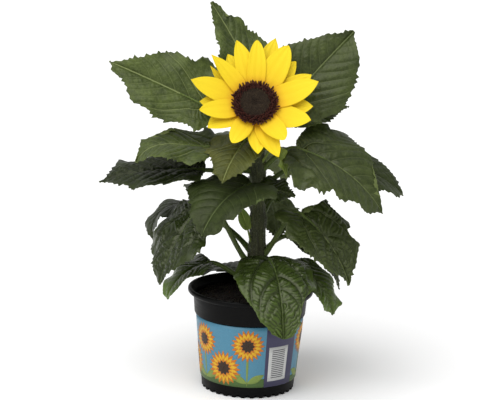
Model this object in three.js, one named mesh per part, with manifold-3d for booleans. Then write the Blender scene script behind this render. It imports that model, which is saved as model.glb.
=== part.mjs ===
// Dwarf sunflower in a nursery pot.
// Millimetres, +Z up, the origin at the centre of the pot's underside, the flower looking along -Y.
import * as THREE from 'three';
import { mergeVertices } from 'three/addons/utils/BufferGeometryUtils.js';
import Module from 'manifold-3d';

const wasm = await Module();
wasm.setup();

const rad = THREE.MathUtils.degToRad;
const gap = 0.3;
const potSteps = 40;
const headSteps = 24;

// pot: a tapered shell with a collar and a rolled lip, closed by a flat base
const potBase = 44.4;
const potShoulder = 51.2;
const shoulderHeight = 72;
const collarBottom = 53.2;
const collarTop = 54.6;
const lipHeight = 89;
const lipRadius = 60;
const potHeight = 97.4;
const potWall = 1.5;
const potFloor = 3;
const footNotches = 32;
const notchDepth = 3;
const notchWidth = 5;
const notchReach = 4;

// printed sleeve round the tapered wall
const sleeveBottom = 11.3;
const sleeveTop = 71.6;
const sleeveThickness = 0.4;

const soilLevel = 88;
const soilRoughness = 1.1;

// stem
const stemTop = 262;
const stemSides = 12;
const stemFootRadius = 8.2;
const stemTaper = 2.4;
const stemFootX = 4.5;

// flower head: a stack of bodies along the head's own axis
const head = { x: -1.5, y: -30, z: 279, tilt: 33 };
const discRadius = 22;
const buttonRadius = 13.5;
const petalWidth = 18;
const petalThickness = 0.8;
const petalStep = 1.4;
const petalRoot = 16;

// [angle round the head, reach from the head's axis], the front whorl lies over the back one
const frontPetals = [
  [89, 58], [60, 62], [18, 64], [-18, 58], [-66, 62], [-110, 50], [188, 52], [164, 61], [133, 58], [107, 61],
];
const backPetals = [
  [73, 64], [47, 56], [29, 61], [-1, 57], [-56, 53], [-85, 55], [-149, 50], [177, 52], [139, 52], [118, 54],
];
const bractCount = 12;
const bractReach = 33;
const bractWidth = 10;

// leaf blade, shared by all the leaves
const lobe = 0.11;
const widest = 0.34;
const notch = 0.35;
const lobeRows = 3;
const bladeRows = 7;
const halfColumns = 2;
const toothDepth = 1.6;
const bladeThickness = 1.5;
const ribDepth = 0.7;
const stalkRadius = 2.3;
const stalkTip = 1.6;
const stalkSides = 6;

// Each leaf leaves the stem at the height `node`, towards `turn`, and its blade starts `reach` out
// at the height `level`. From there the midrib runs towards `heading`, its pitch going from `lift`
// to `drop`. Angles are degrees, lengths millimetres.
const plainLeaf = { swing: 0, roll: 0, fold: 12, edge: -15, wave: 3, rise: 45, ease: 1, taper: 1.2 };
const leaves = [
  { name: 'leaf_crest', node: 250, turn: 70, reach: 20, level: 277, heading: 146,
    length: 106, width: 60, lift: 62, drop: 50, swing: 8, roll: -26, taper: 1.1 },
  { name: 'leaf_upper_right', node: 240, turn: 20, reach: 26, level: 268, heading: 14,
    length: 102, width: 86, lift: 51, drop: 45, roll: 64, fold: 18, taper: 1 },
  { name: 'leaf_middle_right', node: 232, turn: 40, reach: 34, level: 257, heading: 10,
    length: 66, width: 46, lift: 18, drop: 8, roll: 25 },
  { name: 'leaf_upper_left', node: 236, turn: 172, reach: 42, level: 270, heading: 172,
    length: 105, width: 74, lift: 24, drop: 20, roll: -62, fold: 18 },
  { name: 'leaf_left_shelf', node: 218, turn: 182, reach: 47, level: 233, heading: 188,
    length: 74, width: 70, lift: 8, drop: -80, roll: -21, ease: 3, taper: 1 },
  { name: 'leaf_left_low', node: 211, turn: 178, reach: 54, level: 210, heading: 182,
    length: 98, width: 74, lift: 4, drop: -20, roll: -14, rise: 0 },
  { name: 'leaf_front_small', node: 222, turn: -125, reach: 18, level: 242, heading: -120,
    length: 53, width: 60, lift: -20, drop: -60 },
  { name: 'leaf_front_left', node: 182, turn: -118, reach: 16, level: 200, heading: -130,
    length: 81, width: 94, lift: 0, drop: -60, roll: -6, fold: 20, edge: -20 },
  { name: 'leaf_front_right', node: 186, turn: -74, reach: 14, level: 197, heading: -10,
    length: 32, width: 36, lift: 2, drop: -25, roll: 32 },
  { name: 'leaf_right_large', node: 212, turn: -15, reach: 40, level: 236, heading: -12,
    length: 103, width: 90, lift: -10, drop: -58, roll: 28, fold: 16, taper: 1.1 },
  { name: 'leaf_right_far', node: 194, turn: 12, reach: 47, level: 218, heading: 8,
    length: 106, width: 78, lift: 10, drop: -46, roll: 22, taper: 1 },
  { name: 'leaf_right_droop', node: 127, turn: -15, reach: 43, level: 172, heading: -25,
    length: 82, width: 76, lift: -29, drop: -72, roll: 22, fold: 22 },
  { name: 'leaf_apron', node: 112, turn: -65, reach: 28, level: 131, heading: -78,
    length: 99, width: 78, lift: 5, drop: -85, edge: -34, taper: 0.8 },
  { name: 'leaf_right_curl', node: 104, turn: -16, reach: 32, level: 122, heading: -26,
    length: 68, width: 44, lift: -2, drop: -80, roll: 15, taper: 0.8 },
  { name: 'leaf_right_back', node: 128, turn: 34, reach: 42, level: 142, heading: 5,
    length: 74, width: 46, lift: -20, drop: -75, roll: 24 },
  { name: 'leaf_left_droop', node: 117, turn: 192, reach: 55, level: 177, heading: 216,
    length: 86, width: 76, lift: -38, drop: -76, rise: 44, taper: 0.95 },
  { name: 'leaf_left_hook', node: 129, turn: 150, reach: 73, level: 166, heading: 165,
    length: 65, width: 50, lift: 22, drop: -105, swing: 42, rise: 46 },
  { name: 'leaf_left_foot', node: 103, turn: 186, reach: 46, level: 121, heading: 200,
    length: 57, width: 54, lift: -4, drop: -74, rise: 12, taper: 0.8 },
  { name: 'leaf_back_right', node: 160, turn: 60, reach: 26, level: 178, heading: 78,
    length: 62, width: 46, lift: -25, drop: -82 },
  { name: 'leaf_back_left', node: 165, turn: 120, reach: 42, level: 192, heading: 114,
    length: 96, width: 76, lift: 0, drop: -55 },
  { name: 'leaf_back_middle', node: 204, turn: 80, reach: 36, level: 226, heading: 74,
    length: 100, width: 80, lift: 0, drop: -62 },
  { name: 'leaf_back_upper', node: 214, turn: 138, reach: 40, level: 236, heading: 122,
    length: 84, width: 66, lift: 8, drop: -52 },
  { name: 'leaf_back_low', node: 100, turn: 122, reach: 34, level: 105, heading: 128,
    length: 66, width: 56, lift: 6, drop: -30, rise: 15 },
  { name: 'leaf_small', node: 218, turn: -50, reach: 34, level: 238, heading: -42,
    length: 27, width: 14, lift: -60, drop: -80 },
  { name: 'young_shoot', node: 138, turn: 205, reach: 11, level: 156, heading: 170,
    length: 24, width: 12, lift: 72, drop: 60, fold: 25, rise: 60 },
];

const finish = {
  pot: { color: 0x1d1c1e, roughness: 0.42, metalness: 0 },
  sleeve: { color: 0x64a5c3, roughness: 0.45, metalness: 0 },
  soil: { color: 0x2b211c, roughness: 0.95, metalness: 0 },
  stem: { color: 0x3d4a24, roughness: 0.6, metalness: 0 },
  leaf: { color: 0x34462a, roughness: 0.5, metalness: 0 },
  youngLeaf: { color: 0x5c7436, roughness: 0.5, metalness: 0 },
  petal: { color: 0xf3d024, roughness: 0.55, metalness: 0 },
  fringe: { color: 0x38191a, roughness: 0.85, metalness: 0 },
  button: { color: 0x2c231c, roughness: 0.85, metalness: 0 },
};

const group = new THREE.Group();
group.name = 'potted_sunflower';

function direction(turn, rise) {
  const level = Math.cos(rad(rise));
  return new THREE.Vector3(Math.cos(rad(turn)) * level, Math.sin(rad(turn)) * level, Math.sin(rad(rise)));
}

function meshOf(points, faces) {
  const geometry = new THREE.BufferGeometry();
  geometry.setAttribute('position', new THREE.Float32BufferAttribute(points, 3));
  geometry.setIndex(faces);
  return geometry;
}

// a closed skin over rings of points; the ends are capped, or joined to each other
function skin(rings, joined = false) {
  const count = rings[0].length;
  const points = rings.flat().flatMap((point) => point.toArray());
  const faces = [];
  const strips = joined ? rings.length : rings.length - 1;
  for (let i = 0; i < strips; i++) {
    const here = i * count;
    const next = ((i + 1) % rings.length) * count;
    for (let j = 0; j < count; j++) {
      const k = (j + 1) % count;
      faces.push(here + j, here + k, next + k, here + j, next + k, next + j);
    }
  }
  if (!joined) {
    const caps = [rings[0], rings[rings.length - 1]];
    caps.forEach((ring, end) => {
      const middle = ring.reduce((sum, point) => sum.add(point), new THREE.Vector3()).divideScalar(count);
      const centre = points.length / 3;
      points.push(...middle.toArray());
      const first = end ? (rings.length - 1) * count : 0;
      for (let j = 0; j < count; j++) {
        const k = (j + 1) % count;
        faces.push(centre, first + (end ? j : k), first + (end ? k : j));
      }
    });
  }
  return meshOf(points, faces);
}

// a profile of [radius, height] turned about Z
function turned(profile, steps, joined = false, ripple = null) {
  const rings = profile.map(([radius, height]) => {
    const ring = [];
    for (let j = 0; j < steps; j++) {
      const angle = (2 * Math.PI * j) / steps;
      const lift = ripple ? ripple(radius, angle, height) : 0;
      ring.push(new THREE.Vector3(radius * Math.cos(angle), radius * Math.sin(angle), height + lift));
    }
    return ring;
  });
  return skin(rings, joined);
}

function tube(path, radii, sides) {
  const rings = [];
  let side = new THREE.Vector3(1, 0, 0);
  path.forEach((point, i) => {
    const before = path[Math.max(i - 1, 0)];
    const after = path[Math.min(i + 1, path.length - 1)];
    const along = after.clone().sub(before).normalize();
    side = side.addScaledVector(along, -side.dot(along)).normalize();
    const across = along.clone().cross(side);
    const ring = [];
    for (let j = 0; j < sides; j++) {
      const angle = (2 * Math.PI * j) / sides;
      const offset = side.clone().multiplyScalar(Math.cos(angle)).addScaledVector(across, Math.sin(angle));
      ring.push(point.clone().addScaledVector(offset, radii[i]));
    }
    rings.push(ring);
  });
  return skin(rings);
}

// turns an open sheet into a closed body by adding its underside and its edge
function thicken(sheet, depths) {
  sheet.computeVertexNormals();
  const top = sheet.attributes.position;
  const normal = sheet.attributes.normal;
  const count = top.count;
  const points = Array.from(top.array);
  for (let i = 0; i < count; i++) {
    const point = new THREE.Vector3().fromBufferAttribute(top, i);
    const down = new THREE.Vector3().fromBufferAttribute(normal, i).multiplyScalar(-depths[i]);
    points.push(...point.add(down).toArray());
  }
  const index = Array.from(sheet.index.array);
  const faces = [...index];
  const edges = new Map();
  for (let f = 0; f < index.length; f += 3) {
    const [a, b, c] = index.slice(f, f + 3);
    faces.push(a + count, c + count, b + count);
    for (const [from, to] of [[a, b], [b, c], [c, a]]) {
      edges.set(`${from},${to}`, [from, to]);
    }
  }
  for (const [from, to] of edges.values()) {
    if (!edges.has(`${to},${from}`)) {
      faces.push(to, from, from + count, to, from + count, to + count);
    }
  }
  return meshOf(points, faces);
}

// rows of points across a blade; a row may shrink to a single point at either end
function sheetOf(rows) {
  const points = rows.flat().flatMap((point) => point.toArray());
  const starts = rows.map((_, i) => rows.slice(0, i).reduce((sum, row) => sum + row.length, 0));
  const faces = [];
  for (let i = 0; i + 1 < rows.length; i++) {
    const here = rows[i];
    const next = rows[i + 1];
    const columns = Math.max(here.length, next.length) - 1;
    for (let j = 0; j < columns; j++) {
      const a = starts[i] + (here.length > 1 ? j : 0);
      const b = starts[i + 1] + (next.length > 1 ? j : 0);
      if (here.length > 1) {
        faces.push(a, a + 1, b);
      }
      if (next.length > 1) {
        faces.push(here.length > 1 ? a + 1 : a, b + 1, b);
      }
    }
  }
  return meshOf(points, faces);
}

function toManifold(geometry) {
  const bare = geometry.clone();
  bare.deleteAttribute('normal');
  bare.deleteAttribute('uv');
  const merged = mergeVertices(bare, 1e-4);
  const mesh = new wasm.Mesh({
    numProp: 3,
    vertProperties: new Float32Array(merged.attributes.position.array),
    triVerts: new Uint32Array(merged.index.array),
  });
  return new wasm.Manifold(mesh);
}

function toGeometry(body) {
  const mesh = body.getMesh();
  return meshOf(Array.from(mesh.vertProperties), Array.from(mesh.triVerts));
}

function addPart(name, geometry, settings) {
  geometry.computeVertexNormals();
  const part = new THREE.Mesh(geometry, new THREE.MeshStandardMaterial(settings));
  part.name = name;
  group.add(part);
}

// ---- pot, sleeve and soil

const taper = (potShoulder - potBase) / shoulderHeight;
const wallRadius = (height) => potBase + taper * height;

const potProfile = [
  [potBase, 0],
  [potShoulder, shoulderHeight],
  [collarBottom, shoulderHeight + 1],
  [collarTop, lipHeight],
  [lipRadius - 0.9, lipHeight + 1.6],
  [lipRadius, lipHeight + 2.8],
  [lipRadius, potHeight - 1.6],
  [lipRadius - 0.7, potHeight - 0.4],
  [lipRadius - 1.9, potHeight],
  [lipRadius - 3.2, potHeight - 0.5],
  [lipRadius - 3.8, potHeight - 1.8],
  [collarTop - potWall, lipHeight],
  [collarBottom - potWall, shoulderHeight + 1],
  [potShoulder - potWall, shoulderHeight],
  [wallRadius(potFloor) - potWall, potFloor],
];

let potBody = toManifold(turned(potProfile, potSteps));
for (let i = 0; i < footNotches; i++) {
  const angle = (2 * Math.PI * i) / footNotches;
  const cutter = new THREE.CylinderGeometry(notchWidth / 2, notchWidth / 2, notchReach * 2, 6);
  cutter.scale(1, 1, (2 * notchDepth) / notchWidth);
  cutter.rotateZ(-Math.PI / 2);
  cutter.translate(potBase + 0.6, 0, 0);
  cutter.rotateZ(angle);
  potBody = potBody.subtract(toManifold(cutter));
}
addPart('pot', toGeometry(potBody), finish.pot);

const sleeveInner = (height) => wallRadius(height) + gap;
const sleeveOuter = (height) => sleeveInner(height) + sleeveThickness;
const sleeveProfile = [
  [sleeveOuter(sleeveBottom), sleeveBottom],
  [sleeveOuter(sleeveTop), sleeveTop],
  [sleeveInner(sleeveTop), sleeveTop],
  [sleeveInner(sleeveBottom), sleeveBottom],
];
addPart('label_sleeve', turned(sleeveProfile, potSteps, true), finish.sleeve);

const soilRadius = (height) => wallRadius(height) - potWall - gap;
const soilRim = collarTop - potWall - gap - 0.1;
const soilProfile = [
  [soilRadius(potFloor), potFloor + gap],
  [soilRadius(shoulderHeight), shoulderHeight],
  [collarBottom - potWall - gap, shoulderHeight + 1],
  [soilRim, soilLevel - 1.5],
  [46, soilLevel],
  [38, soilLevel],
  [21, soilLevel],
  [12, soilLevel],
];
const soilRipple = (radius, angle, height) => {
  if (height < soilLevel || radius < 13) {
    return 0;
  }
  return soilRoughness * Math.sin(5 * angle + radius) * Math.cos(0.37 * radius + 3 * angle);
};
addPart('soil', turned(soilProfile, potSteps, false, soilRipple), finish.soil);

// ---- stem

function stemAxis(height) {
  const t = THREE.MathUtils.clamp((height - soilLevel) / (stemTop - soilLevel), 0, 1);
  return new THREE.Vector3(stemFootX + 2.5 * t - 8.5 * t ** 3, 3 * t - 14 * t ** 4, height);
}

function stemRadius(height) {
  const t = THREE.MathUtils.clamp((height - soilLevel) / (stemTop - soilLevel), 0, 1);
  return stemFootRadius - stemTaper * t;
}

const headAxis = direction(-90, head.tilt);
const headCentre = new THREE.Vector3(head.x, head.y, head.z);
const headUp = headAxis.clone().cross(new THREE.Vector3(1, 0, 0));
const headFrame = new THREE.Matrix4().makeBasis(new THREE.Vector3(1, 0, 0), headUp, headAxis);
headFrame.setPosition(headCentre);

const cupBack = -15;
const stemPath = [];
const stemRadii = [];
for (let i = 0; i <= 11; i++) {
  const height = THREE.MathUtils.lerp(soilLevel + gap, stemTop, i / 11);
  stemPath.push(stemAxis(height));
  stemRadii.push(stemRadius(height));
}
const neckStart = stemPath[stemPath.length - 1];
const neckEnd = headCentre.clone().addScaledVector(headAxis, cupBack - gap);
const neck = new THREE.CubicBezierCurve3(
  neckStart,
  neckStart.clone().add(new THREE.Vector3(0, -2, 6)),
  neckEnd.clone().addScaledVector(headAxis, -5),
  neckEnd,
);
for (let i = 1; i <= 4; i++) {
  stemPath.push(neck.getPoint(i / 4));
  stemRadii.push(THREE.MathUtils.lerp(stemRadius(stemTop), 5.4, i / 4));
}
addPart('stem', tube(stemPath, stemRadii, stemSides), finish.stem);

const clearedPath = stemPath.map((point) => point.clone());
clearedPath[0].z -= 3;
const clearedStem = toManifold(tube(clearedPath, stemRadii.map((radius) => radius + gap + 0.03), stemSides));

// ---- leaves

function spineOf(leaf, start) {
  const steps = 40;
  const points = [start.clone()];
  for (let i = 0; i < steps; i++) {
    const t = (i + 0.5) / steps;
    const pitch = leaf.lift + (leaf.drop - leaf.lift) * t ** leaf.ease;
    const step = direction(leaf.heading + leaf.swing * t, pitch).multiplyScalar(leaf.length / steps);
    points.push(points[i].clone().add(step));
  }
  return points;
}

// the midrib's point and the blade's own left and up directions, `s` along the midrib
function frameAt(leaf, spine, s) {
  const t = THREE.MathUtils.clamp(s, 0, 1);
  const place = t * (spine.length - 1);
  const cell = Math.min(Math.floor(place), spine.length - 2);
  const point = spine[cell].clone().lerp(spine[cell + 1], place - cell);
  const turn = leaf.heading + leaf.swing * t;
  const along = direction(turn, leaf.lift + (leaf.drop - leaf.lift) * t ** leaf.ease);
  point.addScaledVector(along, Math.min(s, 0) * leaf.length);
  const level = direction(turn + 90, 0);
  const normal = along.clone().cross(level);
  const left = level.clone().applyAxisAngle(along, rad(leaf.roll));
  const up = normal.applyAxisAngle(along, rad(leaf.roll));
  return { point, left, up };
}

// half outlines of a heart-shaped blade: margin x, margin y and the midrib station it is drawn to
function outlineOf(leaf) {
  const half = leaf.width / 2;
  const stations = [];
  for (let i = 0; i <= lobeRows; i++) {
    const angle = Math.PI - (i / lobeRows) * (Math.PI / 2);
    const pinch = Math.max(1 - Math.sin(angle) / notch, 0) ** 2;
    const x = leaf.length * (widest + (widest + lobe) * Math.cos(angle) + lobe * pinch);
    stations.push([x, half * Math.sin(angle), (0.12 * leaf.length * i) / lobeRows]);
  }
  for (let i = 1; i <= bladeRows; i++) {
    const t = i / bladeRows;
    const x = leaf.length * (widest + (1 - widest) * t);
    const y = half * Math.max(Math.cos((Math.PI * t) / 2), 0) ** leaf.taper;
    stations.push([x, y, leaf.length * (0.12 + 0.88 * t)]);
  }
  return stations;
}

function bladeOf(leaf, spine) {
  const half = leaf.width / 2;
  const startBend = rad(leaf.fold);
  const bend = (startBend - rad(leaf.edge)) / half;
  const stations = outlineOf(leaf);
  const tooth = Math.min(toothDepth, leaf.width / 20);
  return stations.map(([x, y, ribX], row) => {
    if (row === 0 || row === stations.length - 1) {
      return [frameAt(leaf, spine, ribX / leaf.length).point];
    }
    const reach = Math.hypot(x - ribX, y);
    const saw = 1 + ((row % 2 ? -0.3 : 1) * tooth) / reach;
    const points = [];
    for (let j = -halfColumns; j <= halfColumns; j++) {
      const part = (Math.abs(j) / halfColumns) * (Math.abs(j) === halfColumns ? saw : 1);
      const px = ribX + (x - ribX) * (0.5 * part + 0.5 * part ** 1.6);
      const py = y * part;
      const frame = frameAt(leaf, spine, px / leaf.length);
      const angle = startBend - bend * py;
      const across = (Math.sin(startBend) - Math.sin(angle)) / bend;
      const phase = 2 * Math.PI * 2.3 * (px / leaf.length) + (j > 0 ? 0 : 2.1);
      const wave = leaf.wave * Math.sin(phase) * (py / half) ** 2;
      const above = (Math.cos(angle) - Math.cos(startBend)) / bend + wave;
      points.push(frame.point.addScaledVector(frame.left, Math.sign(j) * across).addScaledVector(frame.up, above));
    }
    return points.reverse();
  });
}

function stalkOf(leaf) {
  const out = direction(leaf.turn, 0);
  const start = stemAxis(leaf.node).addScaledVector(out, 0.6 * stemRadius(leaf.node));
  const end = stemAxis(leaf.level).addScaledVector(out, leaf.reach);
  const span = start.distanceTo(end);
  return new THREE.CubicBezierCurve3(
    start,
    start.clone().addScaledVector(direction(leaf.turn, leaf.rise), (1.1 * span) / 3),
    end.clone().addScaledVector(direction(leaf.heading, leaf.lift), (-0.9 * span) / 3),
    end,
  );
}

for (const row of leaves) {
  const leaf = { ...plainLeaf, ...row };
  const stalk = stalkOf(leaf);
  const spine = spineOf(leaf, stalk.getPoint(1));
  const rows = bladeOf(leaf, spine);
  const slim = Math.min(1, leaf.length / 60);
  const sheet = sheetOf(rows);
  const depths = rows.flatMap((points) => points.map((_, j) => {
    const onRib = points.length === 1 || j === halfColumns;
    return bladeThickness * slim + (onRib ? ribDepth * slim : 0);
  }));
  const path = stalk.getPoints(4);
  for (const s of [0.05, 0.16]) {
    const frame = frameAt(leaf, spine, s);
    path.push(frame.point.addScaledVector(frame.up, -1.2 * slim));
  }
  const radii = path.map((_, i) => slim * THREE.MathUtils.lerp(stalkRadius, stalkTip, i / (path.length - 1)));
  radii[radii.length - 1] = slim * 0.9;
  const blade = toManifold(thicken(sheet, depths));
  const body = blade.add(toManifold(tube(path, radii, stalkSides))).subtract(clearedStem);
  addPart(leaf.name, toGeometry(body), leaf.length < 30 ? finish.youngLeaf : finish.leaf);
}

// ---- flower head

// a pointed tongue along the local X axis, from `root` out to `reach`
function tongue(root, reach, width, base, slope, trough, rows) {
  const lines = [];
  for (let i = 0; i <= rows; i++) {
    const t = i / rows;
    const radius = root + (reach - root) * t;
    const height = base + (reach - root) * Math.tan(rad(slope)) * t ** 1.4;
    if (i === rows) {
      lines.push([new THREE.Vector3(radius, 0, height)]);
    } else {
      const half = (width / 2) * (0.42 + 0.58 * Math.sin(Math.PI * Math.min(t * 0.85 + 0.08, 1)));
      const edge = height + trough * t;
      lines.push([half, 0, -half].map((y) => new THREE.Vector3(radius, y, y === 0 ? height : edge)));
    }
  }
  const sheet = sheetOf(lines);
  return thicken(sheet, lines.flat().map(() => petalThickness));
}

function whorl(petals, base, slope) {
  const collar = [
    [petalRoot + 2, base - petalStep - petalThickness],
    [petalRoot + 2, base],
    [petalRoot - 3, base],
    [petalRoot - 3, base - petalStep - petalThickness],
  ];
  let body = toManifold(turned(collar, headSteps, true));
  petals.forEach(([angle, reach], i) => {
    const top = base - 0.05 - (i % 2) * (petalStep - 0.1);
    const petal = tongue(petalRoot, reach, petalWidth, top, slope, 0.5, 5);
    petal.rotateZ(rad(angle));
    body = body.add(toManifold(petal));
  });
  return toGeometry(body);
}

function addHeadPart(name, geometry, settings) {
  geometry.applyMatrix4(headFrame);
  addPart(name, geometry, settings);
}

const cupProfile = [
  [6, cupBack],
  [11, cupBack + 2.5],
  [15, cupBack + 6],
  [17, cupBack + 9.2],
];
let cup = toManifold(turned(cupProfile, headSteps));
for (let i = 0; i < bractCount; i++) {
  const bract = tongue(12, bractReach, bractWidth, cupBack + 8.6, -4, 0.6, 3);
  bract.rotateZ((2 * Math.PI * i) / bractCount);
  cup = cup.add(toManifold(bract));
}
addHeadPart('receptacle', toGeometry(cup), finish.stem);
addHeadPart('petals_back', whorl(backPetals, -3, 6), finish.petal);
addHeadPart('petals_front', whorl(frontPetals, 0, 14), finish.petal);

const fringeProfile = [
  [discRadius - 0.8, 0.8],
  [discRadius, 2.2],
  [discRadius - 1.2, 4.6],
  [discRadius - 4, 5.4],
  [buttonRadius + 1.5, 4.6],
  [buttonRadius + gap, 3.4],
  [buttonRadius + gap, 0.8],
];
addHeadPart('disc_fringe', turned(fringeProfile, headSteps, true), finish.fringe);

const buttonProfile = [
  [buttonRadius, 0.8],
  [buttonRadius, 3.2],
  [buttonRadius - 2, 4],
  [6, 3.4],
  [2, 2.4],
];
addHeadPart('disc_centre', turned(buttonProfile, headSteps), finish.button);

export default group;
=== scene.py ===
# Dwarf sunflower in a nursery pot: the looks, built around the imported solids.
import math

import bpy
import numpy as np
from mathutils import Matrix


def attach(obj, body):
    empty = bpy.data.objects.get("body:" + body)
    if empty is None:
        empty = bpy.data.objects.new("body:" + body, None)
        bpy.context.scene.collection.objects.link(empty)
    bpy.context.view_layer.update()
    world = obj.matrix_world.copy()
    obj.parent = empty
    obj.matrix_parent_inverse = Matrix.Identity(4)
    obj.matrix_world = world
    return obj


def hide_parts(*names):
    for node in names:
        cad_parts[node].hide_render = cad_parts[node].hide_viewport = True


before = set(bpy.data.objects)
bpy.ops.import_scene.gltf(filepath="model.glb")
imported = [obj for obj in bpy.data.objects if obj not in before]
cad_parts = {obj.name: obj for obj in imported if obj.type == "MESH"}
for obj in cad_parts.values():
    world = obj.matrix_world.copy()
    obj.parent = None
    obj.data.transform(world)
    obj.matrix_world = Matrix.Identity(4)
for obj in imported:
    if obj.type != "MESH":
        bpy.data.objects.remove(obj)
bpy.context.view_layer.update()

mm = 0.001
body = "root"


def linear(hexCode):  # sRGB hex to linear RGBA
    parts = [int(hexCode[i : i + 2], 16) / 255 for i in (0, 2, 4)]
    return [p / 12.92 if p <= 0.04045 else ((p + 0.055) / 1.055) ** 2.4 for p in parts] + [1.0]


# each input is a value, a socket, or a node that stands for its first output in use
def addNode(tree, kind, settings=None, inputs=None):
    node = tree.nodes.new(kind)
    for key, value in (settings or {}).items():
        setattr(node, key, value)
    for key, value in (inputs or {}).items():
        if isinstance(value, bpy.types.Node):
            value = next(socket for socket in value.outputs if socket.enabled)
        if isinstance(value, bpy.types.NodeSocket):
            tree.links.new(value, node.inputs[key])
        else:
            node.inputs[key].default_value = value
    return node


def perSize(size):  # a pattern whose features measure `size` mm on Object coordinates
    return 1 / (size * mm)


def startMaterial(name):
    material = bpy.data.materials.new(name)
    material.use_nodes = True
    tree = material.node_tree
    tree.nodes.clear()
    return material, tree, addNode(tree, "ShaderNodeTexCoord").outputs["Object"]


def endMaterial(material, inputs):
    tree = material.node_tree
    surface = addNode(tree, "ShaderNodeBsdfPrincipled", None, inputs)
    addNode(tree, "ShaderNodeOutputMaterial", None, {"Surface": surface})
    return material


# camera, floor and light

view = {"distance": 1500, "height": 503.3, "across": -3.25, "pitch": 12.08, "roll": 1.82, "lens": 116.55}
pitch = math.radians(view["pitch"])
roll = math.radians(view["roll"])
ahead = np.array([0, math.cos(pitch), -math.sin(pitch)])
above = np.array([0, math.sin(pitch), math.cos(pitch)])
right = np.array([1.0, 0, 0])
turnedRight = right * math.cos(roll) + above * math.sin(roll)
turnedUp = above * math.cos(roll) - right * math.sin(roll)
camera = bpy.data.objects.new("camera", bpy.data.cameras.new("camera"))
camera.data.lens = view["lens"]
camera.data.sensor_width = 36
camera.data.clip_end = 50
pose = Matrix(np.column_stack([turnedRight, turnedUp, -ahead]).tolist()).to_4x4()
pose.translation = [view["across"] * mm, -view["distance"] * mm, view["height"] * mm]
camera.matrix_world = pose
bpy.context.collection.objects.link(camera)
bpy.context.scene.camera = camera
bpy.context.scene.view_settings.view_transform = "Standard"

studio = {"floor": "ffffff", "sky": "ffffff", "skyStrength": 0.55, "sunStrength": 2.4, "sunSize": 64,
          "sunTilt": 34, "sunTurn": -30, "floorReach": 14.0}
floorMesh = bpy.data.meshes.new("floor")
edge = studio["floorReach"]
corners = [(-edge, -edge, 0), (edge, -edge, 0), (edge, edge, 0), (-edge, edge, 0)]
floorMesh.from_pydata(corners, [], [(0, 1, 2, 3)])
floor = bpy.data.objects.new("floor", floorMesh)
bpy.context.collection.objects.link(floor)
floorMesh.materials.append(endMaterial(startMaterial("paintedFloor")[0], {
    "Base Color": linear(studio["floor"]), "Roughness": 0.9}))

world = bpy.data.worlds.new("studio")
world.use_nodes = True
backdrop = world.node_tree.nodes["Background"].inputs
backdrop["Color"].default_value = linear(studio["sky"])
backdrop["Strength"].default_value = studio["skyStrength"]
bpy.context.scene.world = world

sun = bpy.data.objects.new("softbox", bpy.data.lights.new("softbox", "SUN"))
sun.data.energy = studio["sunStrength"]
sun.data.angle = math.radians(studio["sunSize"])
sun.rotation_euler = (math.radians(studio["sunTilt"]), 0, math.radians(studio["sunTurn"]))
bpy.context.collection.objects.link(sun)
print("studio ready")


# meshes in millimetres

def addPiece(name, points, faces, material, replaced=(), fields=None):
    mesh = bpy.data.meshes.new(name)
    mesh.from_pydata((np.asarray(points) * mm).tolist(), [], faces)
    for key, values in (fields or {}).items():
        attribute = mesh.attributes.new(key, "FLOAT", "POINT")
        attribute.data.foreach_set("value", np.asarray(values, np.float32))
    mesh.materials.append(material)
    mesh.shade_smooth()
    piece = bpy.data.objects.new(name, mesh)
    bpy.context.collection.objects.link(piece)
    return placePiece(piece, replaced)


def placePiece(piece, replaced=()):
    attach(piece, body)
    if replaced:
        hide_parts(*replaced)
    return piece


def softNoise(x, y, size, seed):  # smooth random values from -1 to 1, `size` mm between knots
    knots = np.random.default_rng(seed).random((64, 64)) * 2 - 1
    gx = np.asarray(x) / size + 20
    gy = np.asarray(y) / size + 20
    ix = np.floor(gx).astype(int)
    iy = np.floor(gy).astype(int)
    fx = (gx - ix) ** 2 * (3 - 2 * (gx - ix))
    fy = (gy - iy) ** 2 * (3 - 2 * (gy - iy))
    low = knots[ix % 64, iy % 64] * (1 - fx) + knots[(ix + 1) % 64, iy % 64] * fx
    high = knots[ix % 64, (iy + 1) % 64] * (1 - fx) + knots[(ix + 1) % 64, (iy + 1) % 64] * fx
    return low * (1 - fy) + high * fy


# closes a grid of points and its underside; a pinched end row is a single point
def sheetBody(top, bottom, pinchStart, pinchEnd):
    rows, columns = top.shape[:2]
    index = np.arange(rows * columns).reshape(rows, columns)
    if pinchStart:
        index[0, :] = index[0, 0]
    if pinchEnd:
        index[-1, :] = index[-1, 0]
    used = np.unique(index)
    index = np.searchsorted(used, index)
    count = len(used)
    points = np.vstack([top.reshape(-1, 3)[used], bottom.reshape(-1, 3)[used]])
    under = index + count
    faces = []
    for r in range(rows - 1):
        a, b, c, d = index[r, :-1], index[r, 1:], index[r + 1, 1:], index[r + 1, :-1]
        faces += np.column_stack([a, b, c, d]).tolist()
        faces += (np.column_stack([d, c, b, a]) + count).tolist()
        faces.append([index[r, 0], index[r + 1, 0], under[r + 1, 0], under[r, 0]])
        faces.append([index[r + 1, -1], index[r, -1], under[r, -1], under[r + 1, -1]])
    for c in range(columns - 1):
        if not pinchStart:
            faces.append([index[0, c + 1], index[0, c], under[0, c], under[0, c + 1]])
        if not pinchEnd:
            faces.append([index[-1, c], index[-1, c + 1], under[-1, c + 1], under[-1, c]])
    faces = [list(dict.fromkeys(int(i) for i in face)) for face in faces]
    return points, [face for face in faces if len(face) > 2], used


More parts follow.
